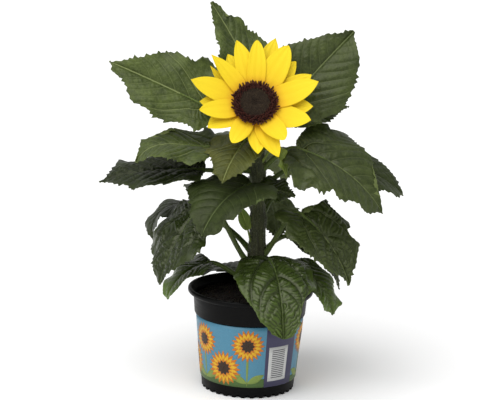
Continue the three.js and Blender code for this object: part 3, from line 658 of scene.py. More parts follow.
# on the broadest leaves that pair arches far forward, and the next ones leave the midrib near its middle
arched = {"sweep": 0.62, "curl": 2, "dome": 0.3,
          "veins": [[-1.4, 0.2], [-0.4, 0.3], [0.03, 1.0], [0.38, 0.4], [0.54, 0.28], [0.68, 0.2],
                    [0.82, 0.14], [1.15, 0.1]]}
plainLeaf = {"swing": 0, "roll": 0, "fold": 12, "edge": -15, "wave": 3, "rise": 45, "ease": 1, "taper": 1.2,
             "quilt": 0.5, "tipQuilt": 0.8, "cell": 4.6, "sweep": 0.27, "curl": 1.2, "dome": 0.5,
             "ruffle": 2.4, "rim": 0, "fresh": 0, "teeth": 1, "veins": veins, "bumps": []}
leafColumns = ["name", "kind", "node", "turn", "reach", "level", "heading", "length", "width", "lift", "drop"]
leafRows = [
    ["leaf_crest", "upper", 250, 70, 20, 277, 146, 106, 60, 62, 50,
     {"roll": -26, "swing": 8, "taper": 1.1, "quilt": 0.55, "sweep": 0.38, "dome": 0.35,
      "bumps": [[1, 0.7, -4, 30], [1, 0.93, 2, 12], [1, 0.73, 3, 7], [-1, 0.78, 3, 7], [-1, 0.7, -2, 6],
                [-1, 0.6, 3, 12], [-1, 0.87, -6, 9]]}],
    ["leaf_upper_right", "middle", 240, 20, 26, 268, 14, 102, 86, 51, 45,
     {"roll": 64, "fold": 18, "taper": 1, "quilt": 0.6, "sweep": 0.38, "dome": 0.35,
      "bumps": [[1, 0.68, -6, 32], [1, 0.9, -4.5, 12], [1, 0.55, -2, 8], [-1, 0.7, 2.5, 9],
                [-1, 0.2, -15, 24], [-1, 0.38, -7, 14], [-1, 0.83, 6, 20]]}],
    ["leaf_middle_right", "upper", 232, 40, 34, 257, 10, 66, 46, 18, 8,
     {"roll": 25, "quilt": 0.5, "dome": 1.1, "bumps": [[1, 0.68, 4, 16], [-1, 0.32, -8, 16]]}],
    ["leaf_upper_left", "upper", 236, 172, 42, 270, 172, 105, 74, 24, 20,
     {"roll": -62, "fold": 18, "quilt": 0.6, "sweep": 0.38, "dome": 0.35,
      "bumps": [[1, 0.38, -11, 22], [1, 0.57, -7, 18], [1, 0.8, -3, 12], [1, 0.92, 3.5, 10],
                [-1, 0.36, 10, 14], [-1, 0.5, -3, 16], [-1, 0.78, -2, 20]]}],
    ["leaf_left_shelf", "upper", 218, 182, 47, 233, 188, 74, 70, 8, -80,
     {"roll": -21, "ease": 3, "taper": 1, "quilt": 0.5, "sweep": 0.36, "dome": 0.4,
      "bumps": [[-1, 0.52, -14, 34], [-1, 0.66, -6, 18], [-1, 0.8, 2, 6], [-1, 0.92, -6, 16],
                [-1, 0.18, 9, 11], [1, 0.5, -6, 12], [1, 0.9, 4, 10]]}],
    ["leaf_left_low", "shade", 211, 178, 54, 210, 182, 98, 74, 4, -20,
     {"roll": -14, "rise": 0, "quilt": 1.3, "cell": 3.4,
      "bumps": [[1, 0.7, 4, 10], [1, 0.84, 6, 18], [1, 0.62, 8, 14], [1, 0.42, -10, 18], [1, 0.12, -9, 14],
                [-1, 0.1, -8, 14], [-1, 0.75, 16, 10], [-1, 0.78, 5, 24], [-1, 0.45, -5, 14]]}],
    ["leaf_front_small", "olive", 222, -125, 18, 242, -120, 53, 60, -20, -60,
     {"quilt": 0.35, "bumps": [[1, 0.5, -7, 14], [-1, 0.7, -5, 15], [-1, 0.26, 13, 18]]}],
    ["leaf_front_left", "matt", 182, -118, 16, 200, -130, 81, 94, 0, -60,
     {"roll": -6, "fold": 20, "edge": -20, "quilt": 0.25, "dome": 0.5,
      "bumps": [[-1, 0.72, -4, 16], [-1, 0.48, -4, 12], [1, 0.9, 7, 14], [1, 0.57, -11, 26],
                [1, 0.49, -6, 18], [1, 0.8, -3, 5]]}],
    ["leaf_front_right", "lower", 186, -74, 14, 197, -10, 32, 36, 2, -25, {"roll": 32, "quilt": 0.5}],
    ["leaf_right_large", "middle", 212, -15, 40, 236, -12, 103, 90, -10, -58,
     {"roll": 28, "fold": 16, "taper": 1.1, "quilt": 0.9, "tipQuilt": 0.1, "cell": 3.6, "sweep": 0.34,
      "dome": 0.9,
      "bumps": [[1, 0.12, -13, 18], [1, 0.38, -8, 6], [1, 0.43, 4, 5], [1, 0.57, -6, 12], [1, 0.78, -12, 34],
                [1, 0.9, -9, 16], [-1, 0.16, 6, 12], [-1, 0.33, 8, 20], [-1, 0.5, 3, 10], [-1, 0.6, -8, 10],
                [-1, 0.88, 7, 14]]}],
    ["leaf_right_far", "matt", 194, 12, 47, 218, 8, 106, 78, 10, -46,
     {"roll": 22, "taper": 1, "quilt": 0.7,
      "bumps": [[1, 0.62, -6, 12], [1, 0.72, -4, 20], [-1, 0.85, 9, 14], [-1, 0.7, 4, 16]]}],
    ["leaf_right_droop", "middle", 127, -15, 43, 172, -25, 82, 76, -29, -72,
     {"roll": 22, "fold": 22, "quilt": 1.7, **arched,
      "bumps": [[1, 0.08, -8, 8], [1, 0.19, -30, 13], [1, 0.27, 3, 6], [1, 0.39, -10, 14],
                [1, 0.6, -11, 11], [1, 0.67, 3, 5], [1, 0.9, -4, 9], [-1, 0.12, 17, 13], [-1, 0.3, 4, 14],
                [-1, 0.52, -3, 30]]}],
    ["leaf_apron", "lower", 112, -65, 28, 131, -78, 99, 78, 5, -85,
     {"taper": 0.8, "quilt": 1.7, "tipQuilt": 0.9, "cell": 3.9, **arched, "fresh": 0.45, "teeth": 0.25,
      "rim": 1, "edge": -34,
      "bumps": [[1, 0.2, 11, 17], [1, 0.12, 7, 12], [1, 0.71, -9, 22], [-1, 0.93, 4, 10], [1, 0.96, 3, 8],
                [-1, 0.84, 2, 12], [-1, 0.38, 2.5, 14]]}],
    ["leaf_right_curl", "lower", 104, -16, 32, 122, -26, 68, 44, -2, -80,
     {"roll": 15, "taper": 0.8, "quilt": 0.8, "fresh": 0.7, "teeth": 0.5,
      "bumps": [[1, 0.42, -5, 20], [1, 0.86, 8, 10], [-1, 0.66, -5, 12], [-1, 0.88, 4, 9]]}],
    ["leaf_right_back", "lower", 128, 34, 42, 142, 5, 74, 46, -20, -75,
     {"roll": 24, "quilt": 0.9, "bumps": [[-1, 0.45, -10, 50]]}],
    ["leaf_left_droop", "lower", 117, 192, 55, 177, 216, 86, 76, -38, -76,
     {"rise": 44, "taper": 0.95, "quilt": 1.9, "tipQuilt": 0.4, "cell": 4.4, **arched,
      "bumps": [[1, 0.36, -8, 20], [1, 0.58, 6, 14], [1, 0.88, -6, 13], [-1, 0.63, 9, 16]]}],
    ["leaf_left_hook", "shade", 129, 150, 73, 166, 165, 65, 50, 22, -105,
     {"swing": 42, "rise": 46, "quilt": 0.5, "dome": 0.2, "cell": 3.4,
      "bumps": [[-1, 0.7, 5, 24], [-1, 0.82, 3, 7], [1, 0.5, 6, 18]]}],
    ["leaf_left_foot", "lower", 103, 186, 46, 121, 200, 57, 54, -4, -74,
     {"rise": 12, "taper": 0.8, "quilt": 0.4, "dome": 0.15, "fresh": 0.9, "teeth": 0.2,
      "bumps": [[1, 0.12, -6, 12], [1, 0.64, -8, 20], [-1, 0.92, 3, 9], [-1, 0.75, 3, 22],
                [-1, 0.13, -7, 10], [-1, 0.33, 8, 12]]}],
    ["leaf_back_right", "lower", 160, 60, 26, 178, 78, 62, 46, -25, -82, {"quilt": 0.9}],
    ["leaf_back_left", "lower", 165, 120, 42, 192, 114, 96, 76, 0, -55, {"quilt": 0.8}],
    ["leaf_back_middle", "middle", 204, 80, 36, 226, 74, 100, 80, 0, -62, {"quilt": 0.5}],
    ["leaf_back_upper", "upper", 214, 138, 40, 236, 122, 84, 66, 8, -52, {"quilt": 0.4}],
    ["leaf_back_low", "shade", 100, 122, 34, 105, 128, 66, 56, 6, -30, {"rise": 15, "quilt": 0.3}],
    ["leaf_small", "young", 218, -50, 34, 238, -42, 27, 14, -60, -80,
     {"quilt": 0.15, "ruffle": 0.4, "dome": 0.2}],
    ["young_shoot", "young", 138, 205, 11, 156, 170, 24, 12, 72, 60,
     {"roll": -70, "fold": 25, "wave": 0.4, "rise": 60, "quilt": 0.1, "ruffle": 0.3, "dome": 0.2, "teeth": 0,
      "fresh": 1}],
]
# deep is painted shade: the colour that the creases of the puckers darken to
leafLooks = {
    "upper": {"light": "53602d", "dark": "283316", "deep": "344019", "vein": "848e5b", "under": "66703f",
              "roughness": 0.4, "veinWidth": 0.8, "shine": 0.45, "pores": 0.35},
    "middle": {"light": "424d23", "dark": "242e13", "deep": "232c11", "vein": "6c774a", "under": "586336",
               "roughness": 0.36, "veinWidth": 0.75, "shine": 0.5, "pores": 0.3},
    "olive": {"light": "575926", "dark": "3a3f1a", "deep": "34390f", "vein": "868d57", "under": "66703f",
              "roughness": 0.46, "veinWidth": 0.75, "shine": 0.35, "pores": 0.35},
    "lower": {"light": "35411a", "dark": "1b240b", "deep": "171f0a", "vein": "4d5a30", "under": "4e5a32",
              "roughness": 0.26, "veinWidth": 0.6, "shine": 0.6, "pores": 0.2},
    "matt": {"light": "323d1a", "dark": "1c240d", "deep": "161d0a", "vein": "5f6c40", "under": "4e5a32",
             "roughness": 0.46, "veinWidth": 0.65, "shine": 0.4, "pores": 0.3},
    # shade: darker copies of the lower leaf's colours, painted shade for leaves that lie in shadow
    "shade": {"light": "2c3617", "dark": "161d09", "deep": "10160a", "vein": "4d5a30", "under": "46522c",
              "roughness": 0.36, "veinWidth": 0.6, "shine": 0.38, "pores": 0.2},
    "young": {"light": "7c8c3c", "dark": "5a6c2c", "deep": "4a5c1e", "vein": "8f9c55", "under": "858f4c",
              "roughness": 0.45, "veinWidth": 0.5, "shine": 0.4, "pores": 0.3},
}
# painted light, partly also a younger green: blades grow brighter towards their tips
freshAndLitGreen = "5a7428"  # tips and edges that still catch the light


def leafFinish(kind, looks):
    # living leaf: a waxy green skin with sunken pale veins and painted shade in the creases of its puckers,
    # paler and matt underneath
    material, tree, coords = startMaterial(kind + "LeafCuticle")
    band, bandWidth, power, ribDistance, fresh, underside, outOfCreaseShade = [
        addNode(tree, "ShaderNodeAttribute", {"attribute_name": name}).outputs["Fac"]
        for name in ("band", "bandWidth", "veinPower", "ribDistance", "fresh", "underside", "outOfCreaseShade")]
    share = addNode(tree, "ShaderNodeMath", {"operation": "PINGPONG"}, {0: band, 1: 0.5})
    away = addNode(tree, "ShaderNodeMath", {"operation": "MULTIPLY"}, {0: share, 1: bandWidth})
    lateral = addNode(tree, "ShaderNodeMapRange", {"interpolation_type": "SMOOTHSTEP"},
                      {0: away, 1: 0.1, 2: looks["veinWidth"], 3: power, 4: 0.0})
    ribSpan = addNode(tree, "ShaderNodeMath", {"operation": "ABSOLUTE"}, {0: ribDistance})
    midrib = addNode(tree, "ShaderNodeMapRange", {"interpolation_type": "SMOOTHSTEP"},
                     {0: ribSpan, 1: 0.3, 2: 1.4 * looks["veinWidth"], 3: 1.0, 4: 0.0})
    warp = addNode(tree, "ShaderNodeTexNoise", None, {"Vector": coords, "Scale": perSize(5), "Detail": 2})
    shifted = addNode(tree, "ShaderNodeMix", {"data_type": "VECTOR"},
                      {0: 0.004, 4: coords, 5: warp.outputs["Color"]})
    net = addNode(tree, "ShaderNodeTexVoronoi", {"feature": "DISTANCE_TO_EDGE"},
                  {"Vector": shifted, "Scale": perSize(3.4)})
    netLine = addNode(tree, "ShaderNodeMapRange", {"interpolation_type": "SMOOTHSTEP"},
                      {0: net, 1: 0.0, 2: 0.12, 3: 0.14, 4: 0.0})
    branch = addNode(tree, "ShaderNodeMath", {"operation": "MAXIMUM"}, {0: lateral, 1: midrib})
    vein = addNode(tree, "ShaderNodeMath", {"operation": "MAXIMUM"}, {0: branch, 1: netLine})
    paleness = addNode(tree, "ShaderNodeMath", {"operation": "MULTIPLY"}, {0: vein, 1: 0.75})
    patches = addNode(tree, "ShaderNodeTexNoise", None,
                      {"Vector": coords, "Scale": perSize(13), "Detail": 6, "Roughness": 0.62})
    patchShare = addNode(tree, "ShaderNodeMapRange", None, {0: patches, 1: 0.33, 2: 0.67, 3: 0.0, 4: 1.0})
    green = addNode(tree, "ShaderNodeMix", {"data_type": "RGBA"},
                    {0: patchShare, 6: linear(looks["dark"]), 7: linear(looks["light"])})
    # painted light, partly a younger green, brightening towards the tips
    freshAndLitTinted = addNode(tree, "ShaderNodeMix", {"data_type": "RGBA"},
                     {0: fresh, 6: green, 7: linear(freshAndLitGreen)})
    # painted shade: the creases and the midrib darken towards the deep colour
    creaseShaded = addNode(tree, "ShaderNodeMix", {"data_type": "RGBA"},
                      {0: outOfCreaseShade, 6: linear(looks["deep"]), 7: freshAndLitTinted})
    veined = addNode(tree, "ShaderNodeMix", {"data_type": "RGBA"},
                     {0: paleness, 6: creaseShaded, 7: linear(looks["vein"])})
    beneath = addNode(tree, "ShaderNodeMix", {"data_type": "RGBA"},
                      {0: paleness, 6: linear(looks["under"]), 7: linear(looks["vein"])})
    colour = addNode(tree, "ShaderNodeMix", {"data_type": "RGBA"}, {0: underside, 6: veined, 7: beneath})
    wax = addNode(tree, "ShaderNodeMapRange", None,
                  {0: patches, 1: 0.3, 2: 0.7, 3: looks["roughness"] - 0.05, 4: looks["roughness"] + 0.1})
    roughness = addNode(tree, "ShaderNodeMix", None, {0: underside, 2: wax, 3: 0.7})
    pores = addNode(tree, "ShaderNodeTexNoise", None, {"Vector": coords, "Scale": perSize(1.4), "Detail": 3})
    grain = addNode(tree, "ShaderNodeBump", None,
                    {"Height": pores, "Strength": looks["pores"], "Distance": 0.3 * mm})
    sunken = addNode(tree, "ShaderNodeBump", {"invert": True},
                     {"Height": vein, "Strength": 0.6, "Distance": 0.4 * mm, "Normal": grain})
    return endMaterial(material, {
        "Base Color": colour, "Roughness": roughness, "Normal": sunken, "IOR": 1.42,
        "Specular IOR Level": looks["shine"], "Specular Tint": linear("eaedcf")})


# points, left and up directions at the share s of the midrib, by the source's rule
def midribFrames(leaf, base, s):
    steps = 40
    t = (np.arange(steps) + 0.5) / steps
    pitches = leaf["lift"] + (leaf["drop"] - leaf["lift"]) * t ** leaf["ease"]
    walk = np.cumsum(direction(leaf["heading"] + leaf["swing"] * t, pitches), 0)
    spine = np.vstack([[0, 0, 0], walk]) * leaf["length"] / steps + base
    t = np.clip(s, 0, 1)
    cell = np.minimum((t * steps).astype(int), steps - 1)
    share = (t * steps - cell)[..., None]
    turn = leaf["heading"] + leaf["swing"] * t
    along = direction(turn, leaf["lift"] + (leaf["drop"] - leaf["lift"]) * t ** leaf["ease"])
    point = spine[cell] * (1 - share) + spine[cell + 1] * share
    point = point + along * (np.minimum(s, 0) * leaf["length"])[..., None]
    level = direction(turn + 90, 0 * turn)
    normal = np.cross(along, level)
    rolled = math.radians(leaf["roll"])
    left = level * math.cos(rolled) + normal * math.sin(rolled)
    up = normal * math.cos(rolled) - level * math.sin(rolled)
    return point, left, up


def leafOutline(leaf):
    length, half = leaf["length"], leaf["width"] / 2
    a = np.linspace(0, 1, blade["lobeRows"] + 1)
    angle = np.pi * (1 - a / 2)
    pinch = np.clip(1 - np.sin(angle) / blade["notch"], 0, None) ** 2
    lobeReach = blade["widest"] + blade["lobe"]
    lobeX = length * (blade["widest"] + lobeReach * np.cos(angle) + blade["lobe"] * pinch)
    t = np.linspace(0, 1, blade["bladeRows"] + 1)[1:]
    bladeX = length * (blade["widest"] + (1 - blade["widest"]) * t)
    bladeY = half * np.clip(np.cos(np.pi * t / 2), 0, None) ** leaf["taper"]
    x = np.append(lobeX, bladeX)
    y = np.append(half * np.sin(angle), bladeY)
    rib = np.append(0.12 * length * a, length * (0.12 + 0.88 * t))
    return x, y, rib


# how far the margin stands out at each row: uneven forward-pointing teeth on shallow lobes,
# with the leaf's own points and nicks as [side, share of the margin, height, reach]
def marginTeeth(leaf, x, y, side, seed):
    arc = np.append(0, np.cumsum(np.hypot(np.diff(x), np.diff(y))))
    small = min(1, leaf["width"] / 55)
    phase = arc / (blade["toothPitch"] * small) + 1.1 * softNoise(arc, side * 40, 15, seed)
    share = phase - np.floor(phase)
    tooth = np.where(share < 0.72, (share / 0.72) ** 1.3, (1 - share) / 0.28)
    chance = np.random.default_rng(seed + 7 * (side + 2)).random(400)
    size = 0.2 + 1.3 * chance[np.floor(phase).astype(int) % 400] ** 1.4
    ends = np.clip(arc / 22, 0, 1) * np.clip((arc[-1] - arc) / 9, 0, 1)
    scallop = softNoise(arc, side * 90, blade["scallopPitch"] * small, seed + 3)
    stand = small * ends * (leaf["teeth"] * blade["tooth"] * tooth * size + blade["scallop"] * scallop)
    for bumpSide, place, height, reach in leaf["bumps"]:
        if bumpSide == side:
            window = np.clip(1 - np.abs(arc - place * arc[-1]) / reach, 0, 1)
            stand = stand + height * (window**1.2 if reach < 11 else np.sin(window * np.pi / 2))
    return stand


# flat grid of the blade: places along and across it, and its vein bands
def leafGrid(leaf, number):
    length = leaf["length"]
    x, y, rib = leafOutline(leaf)
    x, y, rib = x[:, None], y[:, None], rib[:, None]
    part = np.linspace(1, -1, blade["columns"])[None, :]
    side = np.sign(part)
    a = np.abs(part)
    teeth = np.where(side > 0, marginTeeth(leaf, x[:, 0], y[:, 0], 1, number)[:, None],
                     marginTeeth(leaf, x[:, 0], y[:, 0], -1, number)[:, None])
    spread = np.hypot(x - rib, y) + 1e-6
    teeth = np.maximum(teeth, -0.75 * spread)
    ease = 0.5 * a + 0.5 * a**1.6
    px = rib + (x - rib) * (ease + teeth / spread * a**6)
    py = y * (a + teeth / spread * a**6)

    # vein bands: the share of the way from one lateral vein to the next
    q = rib / length
    sweep = leaf["sweep"] * np.clip(q / 0.12, 0, 1)
    swept = sweep * a ** leaf["curl"]
    station = (q - swept) / (1 - swept) + 0.016 * side + 0.014 * softNoise(px, py, 18, number + 20)
    stations = np.array([place for place, _ in leaf["veins"]])
    powers = np.array([power for _, power in leaf["veins"]])
    band = np.interp(station, stations, np.arange(len(stations)))
    rowStep = np.hypot(np.gradient(px, axis=0), np.gradient(py, axis=0))
    slope = leaf["curl"] * sweep * (1 - q) * a ** (leaf["curl"] - 1) * length / (y + 4)
    stretch = rowStep / np.gradient(q, axis=0) * (1 - swept) / np.hypot(1, slope)
    bandWidth = np.diff(stations)[np.clip(band.astype(int), 0, len(stations) - 2)] * stretch
    power = powers[np.round(band).astype(int)] * (1 - 0.55 * a**2) * np.clip((1.05 - q) / 0.4, 0, 1)
    return {"x": px, "y": py, "rib": rib, "a": a, "side": side, "band": band,
            "bandWidth": bandWidth, "power": power}


# the blade's middle surface: folded, waved and ruffled about its bent midrib
def leafSurface(leaf, base, number, grid):
    half = leaf["width"] / 2
    px, py, a, side = grid["x"], grid["y"], grid["a"], grid["side"]
    point, left, up = midribFrames(leaf, base, px / leaf["length"])
    startBend = math.radians(leaf["fold"])
    bend = (startBend - math.radians(leaf["edge"])) / half
    angle = startBend - bend * py
    across = (math.sin(startBend) - np.sin(angle)) / bend
    phase = 2 * np.pi * 2.3 * (px / leaf["length"]) + np.where(side > 0, 0, 2.1)
    lifted = (np.cos(angle) - math.cos(startBend)) / bend + leaf["wave"] * np.sin(phase) * (py / half) ** 2
    for size, share, power, seed in skin["ruffles"]:
        lifted = lifted + share * leaf["ruffle"] * softNoise(px, side * py, size, number + seed) * a**power
    surface = point + left * (side * across)[..., None] + up * lifted[..., None]
    surface[0] = surface[0].mean(0)
    surface[-1] = surface[-1].mean(0)
    return surface


# how far the skin stands off that surface, the way to the nearest lateral vein, and how far each place
# lies out of the painted shade of the creases: between two laterals the skin is puckered in ridges, like
# the rungs of a ladder, that are 1 on their crests and 0 in the creases, and lower along the midrib
def leafRelief(leaf, number, grid):
    px, py, a, band = grid["x"], grid["y"], grid["a"], grid["band"]
    share = band - np.floor(band)
    lateral = np.minimum(share, 1 - share) * grid["bandWidth"]
    slant = leaf["sweep"] * leaf["curl"] * 0.5 ** (leaf["curl"] - 1) * 2 * leaf["length"] / leaf["width"]
    outward = (np.abs(py) + slant * px) / math.hypot(slant, 1)
    for size, reach, seed in skin["wander"]:
        outward = outward + reach * softNoise(px, py, size, number + seed)
    lane = band.astype(int) + np.where(grid["side"] > 0, 0, 20)
    chance = np.random.default_rng(number + 50).random(997)
    bow = skin["bow"] * share * (1 - share)
    phase = (outward - bow + 60) / leaf["cell"] + 7 * chance[lane]
    vigour = chance[(phase.astype(int) * 31 + lane * 57) % 997]
    between = 1 - np.exp(-((lateral / skin["ridgeEnd"]) ** 2)) * np.clip(2.5 * grid["power"], 0, 1)
    crest = np.abs(np.sin(np.pi * phase)) ** 0.7 * between
    grain = skin["grainDepth"] * softNoise(px, py, skin["grainSize"], number + 90)
    calm = np.clip((1 - a) / skin["calmEdge"], 0, 1)
    calm = calm * (2 - calm)
    quilt = leaf["quilt"] * (1 + (leaf["tipQuilt"] - 1) * np.clip(px / leaf["length"], 0, 1)) * calm
    dome = np.clip(4 * share * (1 - share), 0, 1) ** 0.7 * np.sin(np.pi * np.clip(a, 0, 1) ** 0.8)
    ribSunk = np.exp(-((py / skin["ribWidth"]) ** 2))
    ridges = (0.35 + vigour) * crest * (1 - ribSunk) + grain - skin["sunk"]
    creases = (0.1 + grid["power"]) * np.exp(-((lateral / skin["creaseWidth"]) ** 2))
    rim = np.clip((a - 1) / skin["rimShare"] + 1, 0, 1) ** 2
    relief = leaf["dome"] * dome + quilt * ridges - (0.2 + 0.3 * quilt) * creases + leaf["rim"] * rim
    relief = relief - skin["ribDepth"] * leaf["small"] * ribSunk
    outOfCreaseShade = crest * (0.7 + 0.3 * vigour) * (1 - 0.7 * ribSunk)
    return relief, lateral, 1 - np.minimum(1, quilt) * (1 - outOfCreaseShade)


def makeLeaf(number, row, materials):
    leaf = dict(plainLeaf, **dict(zip(leafColumns, row)), **row[-1])
    length = leaf["length"]
    small = leaf["small"] = min(1, length / 60)
    out = direction(leaf["turn"], 0)
    start = stemAxis(leaf["node"]) + out * 0.6 * stemRadius(leaf["node"])
    base = stemAxis(min(leaf["level"], stem["top"])) * [1, 1, 0] + [0, 0, leaf["level"]] + out * leaf["reach"]
    span = np.linalg.norm(base - start)
    path = bezier(start, start + direction(leaf["turn"], leaf["rise"]) * 1.1 * span / 3,
                  base - direction(leaf["heading"], leaf["lift"]) * 0.9 * span / 3, base, 22)

    grid = leafGrid(leaf, number)
    surface = leafSurface(leaf, base, number, grid)
    relief, lateral, outOfCreaseShade = leafRelief(leaf, number, grid)
    normal = skinNormals(surface)
    relief[0] = 0
    relief[-1] = 0
    top = surface + normal * relief[..., None]
    taper = 1 - 0.75 * grid["rib"] / length
    midrib = skin["ridgeUnder"] * taper * np.exp(-((grid["y"] / skin["ridgeWidth"]) ** 2))
    laterals = skin["veinUnder"] * grid["power"] * np.exp(-((lateral / skin["veinWidth"]) ** 2))
    bottom = top - normal * (blade["thickness"] + small * (midrib + laterals))[..., None]
    points, faces, used = sheetBody(top, bottom, True, True)

    radii = small * np.linspace(blade["stalkRadius"], blade["stalkTip"], len(path) + 6)
    radii[:5] *= np.linspace(1.35, 1, 5)
    radii[-6:] *= np.linspace(1, 0.3, 6)  # the stalk runs on into the midrib and thins out there
    ribPoint, _, ribUp = midribFrames(leaf, base, np.linspace(0.02, 0.3, 6))
    path = np.vstack([path, ribPoint - ribUp * 0.8 * small])
    stalkPoints, stalkFaces = tubeBody(path, radii, blade["stalkSides"])
    count = len(used)
    extra = len(stalkPoints)

    def onBoth(values, stalkValue):
        flat = np.broadcast_to(values, grid["x"].shape).reshape(-1)[used]
        return np.concatenate([flat, flat, np.full(extra, float(stalkValue))])

    fields = {"band": onBoth(grid["band"], 0.5), "veinPower": onBoth(grid["power"], 0),
              "bandWidth": onBoth(grid["bandWidth"] / (0.4 + 0.6 * grid["power"]), 20),
              "ribDistance": onBoth(grid["y"] / (0.35 + 0.65 * taper), 3),
              "outOfCreaseShade": onBoth(outOfCreaseShade, 1),
              "fresh": onBoth(leaf["fresh"] * (grid["x"] / length).clip(0, 1) ** 0.8, 0.4),
              "underside": np.concatenate([np.zeros(count), np.ones(count), np.full(extra, 0.35)])}
    allPoints, allFaces = joinBodies([(points, faces), (stalkPoints, stalkFaces)])
    kind = leaf["kind"]
    addPiece("blade_" + leaf["name"], allPoints, allFaces, materials[kind], [leaf["name"]], fields)
    return stalkPoints, stalkFaces


leafMaterials = {kind: leafFinish(kind, looks) for kind, looks in leafLooks.items()}
stalks = [makeLeaf(number, row, leafMaterials) for number, row in enumerate(leafRows)]
print("leaves made:", len(stalks))


# stem with its ribs, knots and hairs

def stemFinish():
    # herbaceous stem: matt green skin with pale ribs, redder low down, under bristly hairs
    material, tree, coords = startMaterial("herbaceousStem")
    fibre = addNode(tree, "ShaderNodeMapping", None, {"Vector": coords, "Scale": (1, 1, 0.08)})
    stripes = addNode(tree, "ShaderNodeTexNoise", None,
                      {"Vector": fibre, "Scale": perSize(1.6), "Detail": 4, "Roughness": 0.6})
    share = addNode(tree, "ShaderNodeMapRange", None, {0: stripes, 1: 0.35, 2: 0.65, 3: 0, 4: 1})
    green = addNode(tree, "ShaderNodeMix", {"data_type": "RGBA"},
                    {0: share, 6: linear("262c15"), 7: linear("434a24")})
    place = addNode(tree, "ShaderNodeSeparateXYZ", None, {0: coords})
    low = addNode(tree, "ShaderNodeMapRange", None,
                  {0: place.outputs[2], 1: soil["level"] * mm, 2: (soil["level"] + 90) * mm, 3: 0.7, 4: 0.1})
    colour = addNode(tree, "ShaderNodeMix", {"data_type": "RGBA"}, {0: low, 6: green, 7: linear("2a2116")})
    relief = addNode(tree, "ShaderNodeBump", None, {"Height": stripes, "Strength": 0.5, "Distance": 0.3 * mm})
    return endMaterial(material, {"Base Color": colour, "Normal": relief, "IOR": 1.4, "Roughness": 0.62})


def hairFinish():
    # stiff translucent bristles: pale grey-green
    return endMaterial(startMaterial("plantHair")[0], {
        "Base Color": linear("98a27c"), "Roughness": 0.6, "IOR": 1.4})


def makeStem(finish):
    heights = np.linspace(soil["level"] - 1.5, stem["top"], stem["rings"])
    path = np.array([stemAxis(z) for z in heights])
    radii = np.array([stemRadius(z) for z in heights])
    end = headCentre + headAxis * (head["cupBack"] + 1)
    neck = bezier(path[-1], path[-1] + [0, -2, 6], end - headAxis * 5, end, 26)[1:]
    path = np.vstack([path, neck])
    radii = np.append(radii, np.linspace(radii[-1], stem["neck"], len(neck)))
    angle = 2 * np.pi * np.arange(stem["sides"]) / stem["sides"]
    knots = np.array([row[2] for row in leafRows])
    rings = []
    for i, radius in enumerate(radii):
        height = path[i][2]
        swell = stem["knotSwell"] * np.exp(-(((height - knots) / stem["knotReach"]) ** 2)).sum()
        flare = stem["flare"] * math.exp(-(height - soil["level"]) / stem["flareReach"])
        ribs = stem["ribDepth"] * np.cos(stem["ribs"] * angle + 0.012 * height)
        rough = stem["roughness"] * softNoise(angle * radius * 2, 0 * angle + height, 5, 12)
        rings.append(radius + ribs + rough + min(swell, stem["mostSwell"]) + flare)
    points, faces = tubeBody(path, rings, stem["sides"])
    return addPiece("stem_skin", points, faces, finish, ["stem"])


hair = {"length": 2.0, "thickness": 0.11, "density": 0.5, "stalkDensity": 0.25, "smallest": 0.4,
        "largest": 1.1, "lean": 0.5, "seed": 11}


def makeHairs(carrier, name, density):
    turns = 2 * np.pi * np.arange(3) / 3
    foot = [[hair["thickness"] * math.cos(turn), hair["thickness"] * math.sin(turn), 0] for turn in turns]
    tip = [0, 0, hair["length"]]
    bristle = pattern("bristle", foot + [tip], [[0, 1, 3], [1, 2, 3], [2, 0, 3], [2, 1, 0]])
    grown = grow(name, scatterTrees, {
        "Piece": bristle, "Density": density / mm**2, "Smallest": hair["smallest"],
        "Largest": hair["largest"], "Lean": hair["lean"], "Seed": hair["seed"],
        "Material": hairSkin}, carrier)
    bpy.data.objects.remove(bristle)
    placePiece(grown)


stemSkin = stemFinish()
hairSkin = hairFinish()
stemPiece = makeStem(stemSkin)
makeHairs(stemPiece, "stem_hairs", hair["density"])
stalkPoints, stalkFaces = joinBodies(stalks)
stalkCarrier = pattern("stalkSurface", stalkPoints, stalkFaces)
makeHairs(stalkCarrier, "stalk_hairs", hair["stalkDensity"])
bpy.data.objects.remove(stalkCarrier)
print("stem made")


# flower head

petal = {"root": 15, "width": 19.5, "thickness": 0.35, "rows": 46, "columns": 21, "step": 1.3, "crease": 0.2}
plainPetal = {"width": 1, "curl": 0, "bow": 0, "cup": 0, "twist": 0, "point": 4}
# ray petals as [angle about the disc, reach from its middle, what sets this one apart]
frontPetals = [
    [89.6, 60.5, {"width": 0.88, "point": 8}], [62, 62.5, {"width": 1.25, "curl": -0.1, "point": 5.5}],
    [19, 60.5, {"width": 1.15, "bow": 3}], [-20, 54.5, {"width": 1.15, "bow": 6}],
    [-54, 47.5, {"curl": 0.35, "cup": 2.4, "point": 7}],
    [-115, 45.5, {"width": 0.95, "point": 9, "curl": -0.3, "cup": -1.2}], [193, 51.5, {"bow": -4}],
    [163.5, 61.5, {"width": 1.1, "bow": 5}], [133.5, 60, {"width": 0.85, "bow": 7, "twist": 0.3, "point": 3}],
    [107.5, 62, {"width": 0.95, "bow": 5}]]
backPetals = [
    [75.5, 70, {"width": 0.98, "bow": -5}], [50, 57.4, {"width": 1.05}], [31.3, 60, {"width": 1.1, "bow": 6}],
    [-1, 53.5, {"width": 1.05}], [-66, 57, {"width": 0.95, "cup": 3, "bow": 6}],
    [-85, 49.5, {"width": 0.9, "cup": 1}], [-149, 49.5, {"width": 1.15, "twist": 0.5, "bow": 4}],
    [179, 51, {}], [141, 54, {"width": 0.62, "curl": 0.7, "bow": -6, "point": 2.5}], [118, 56.5, {}]]


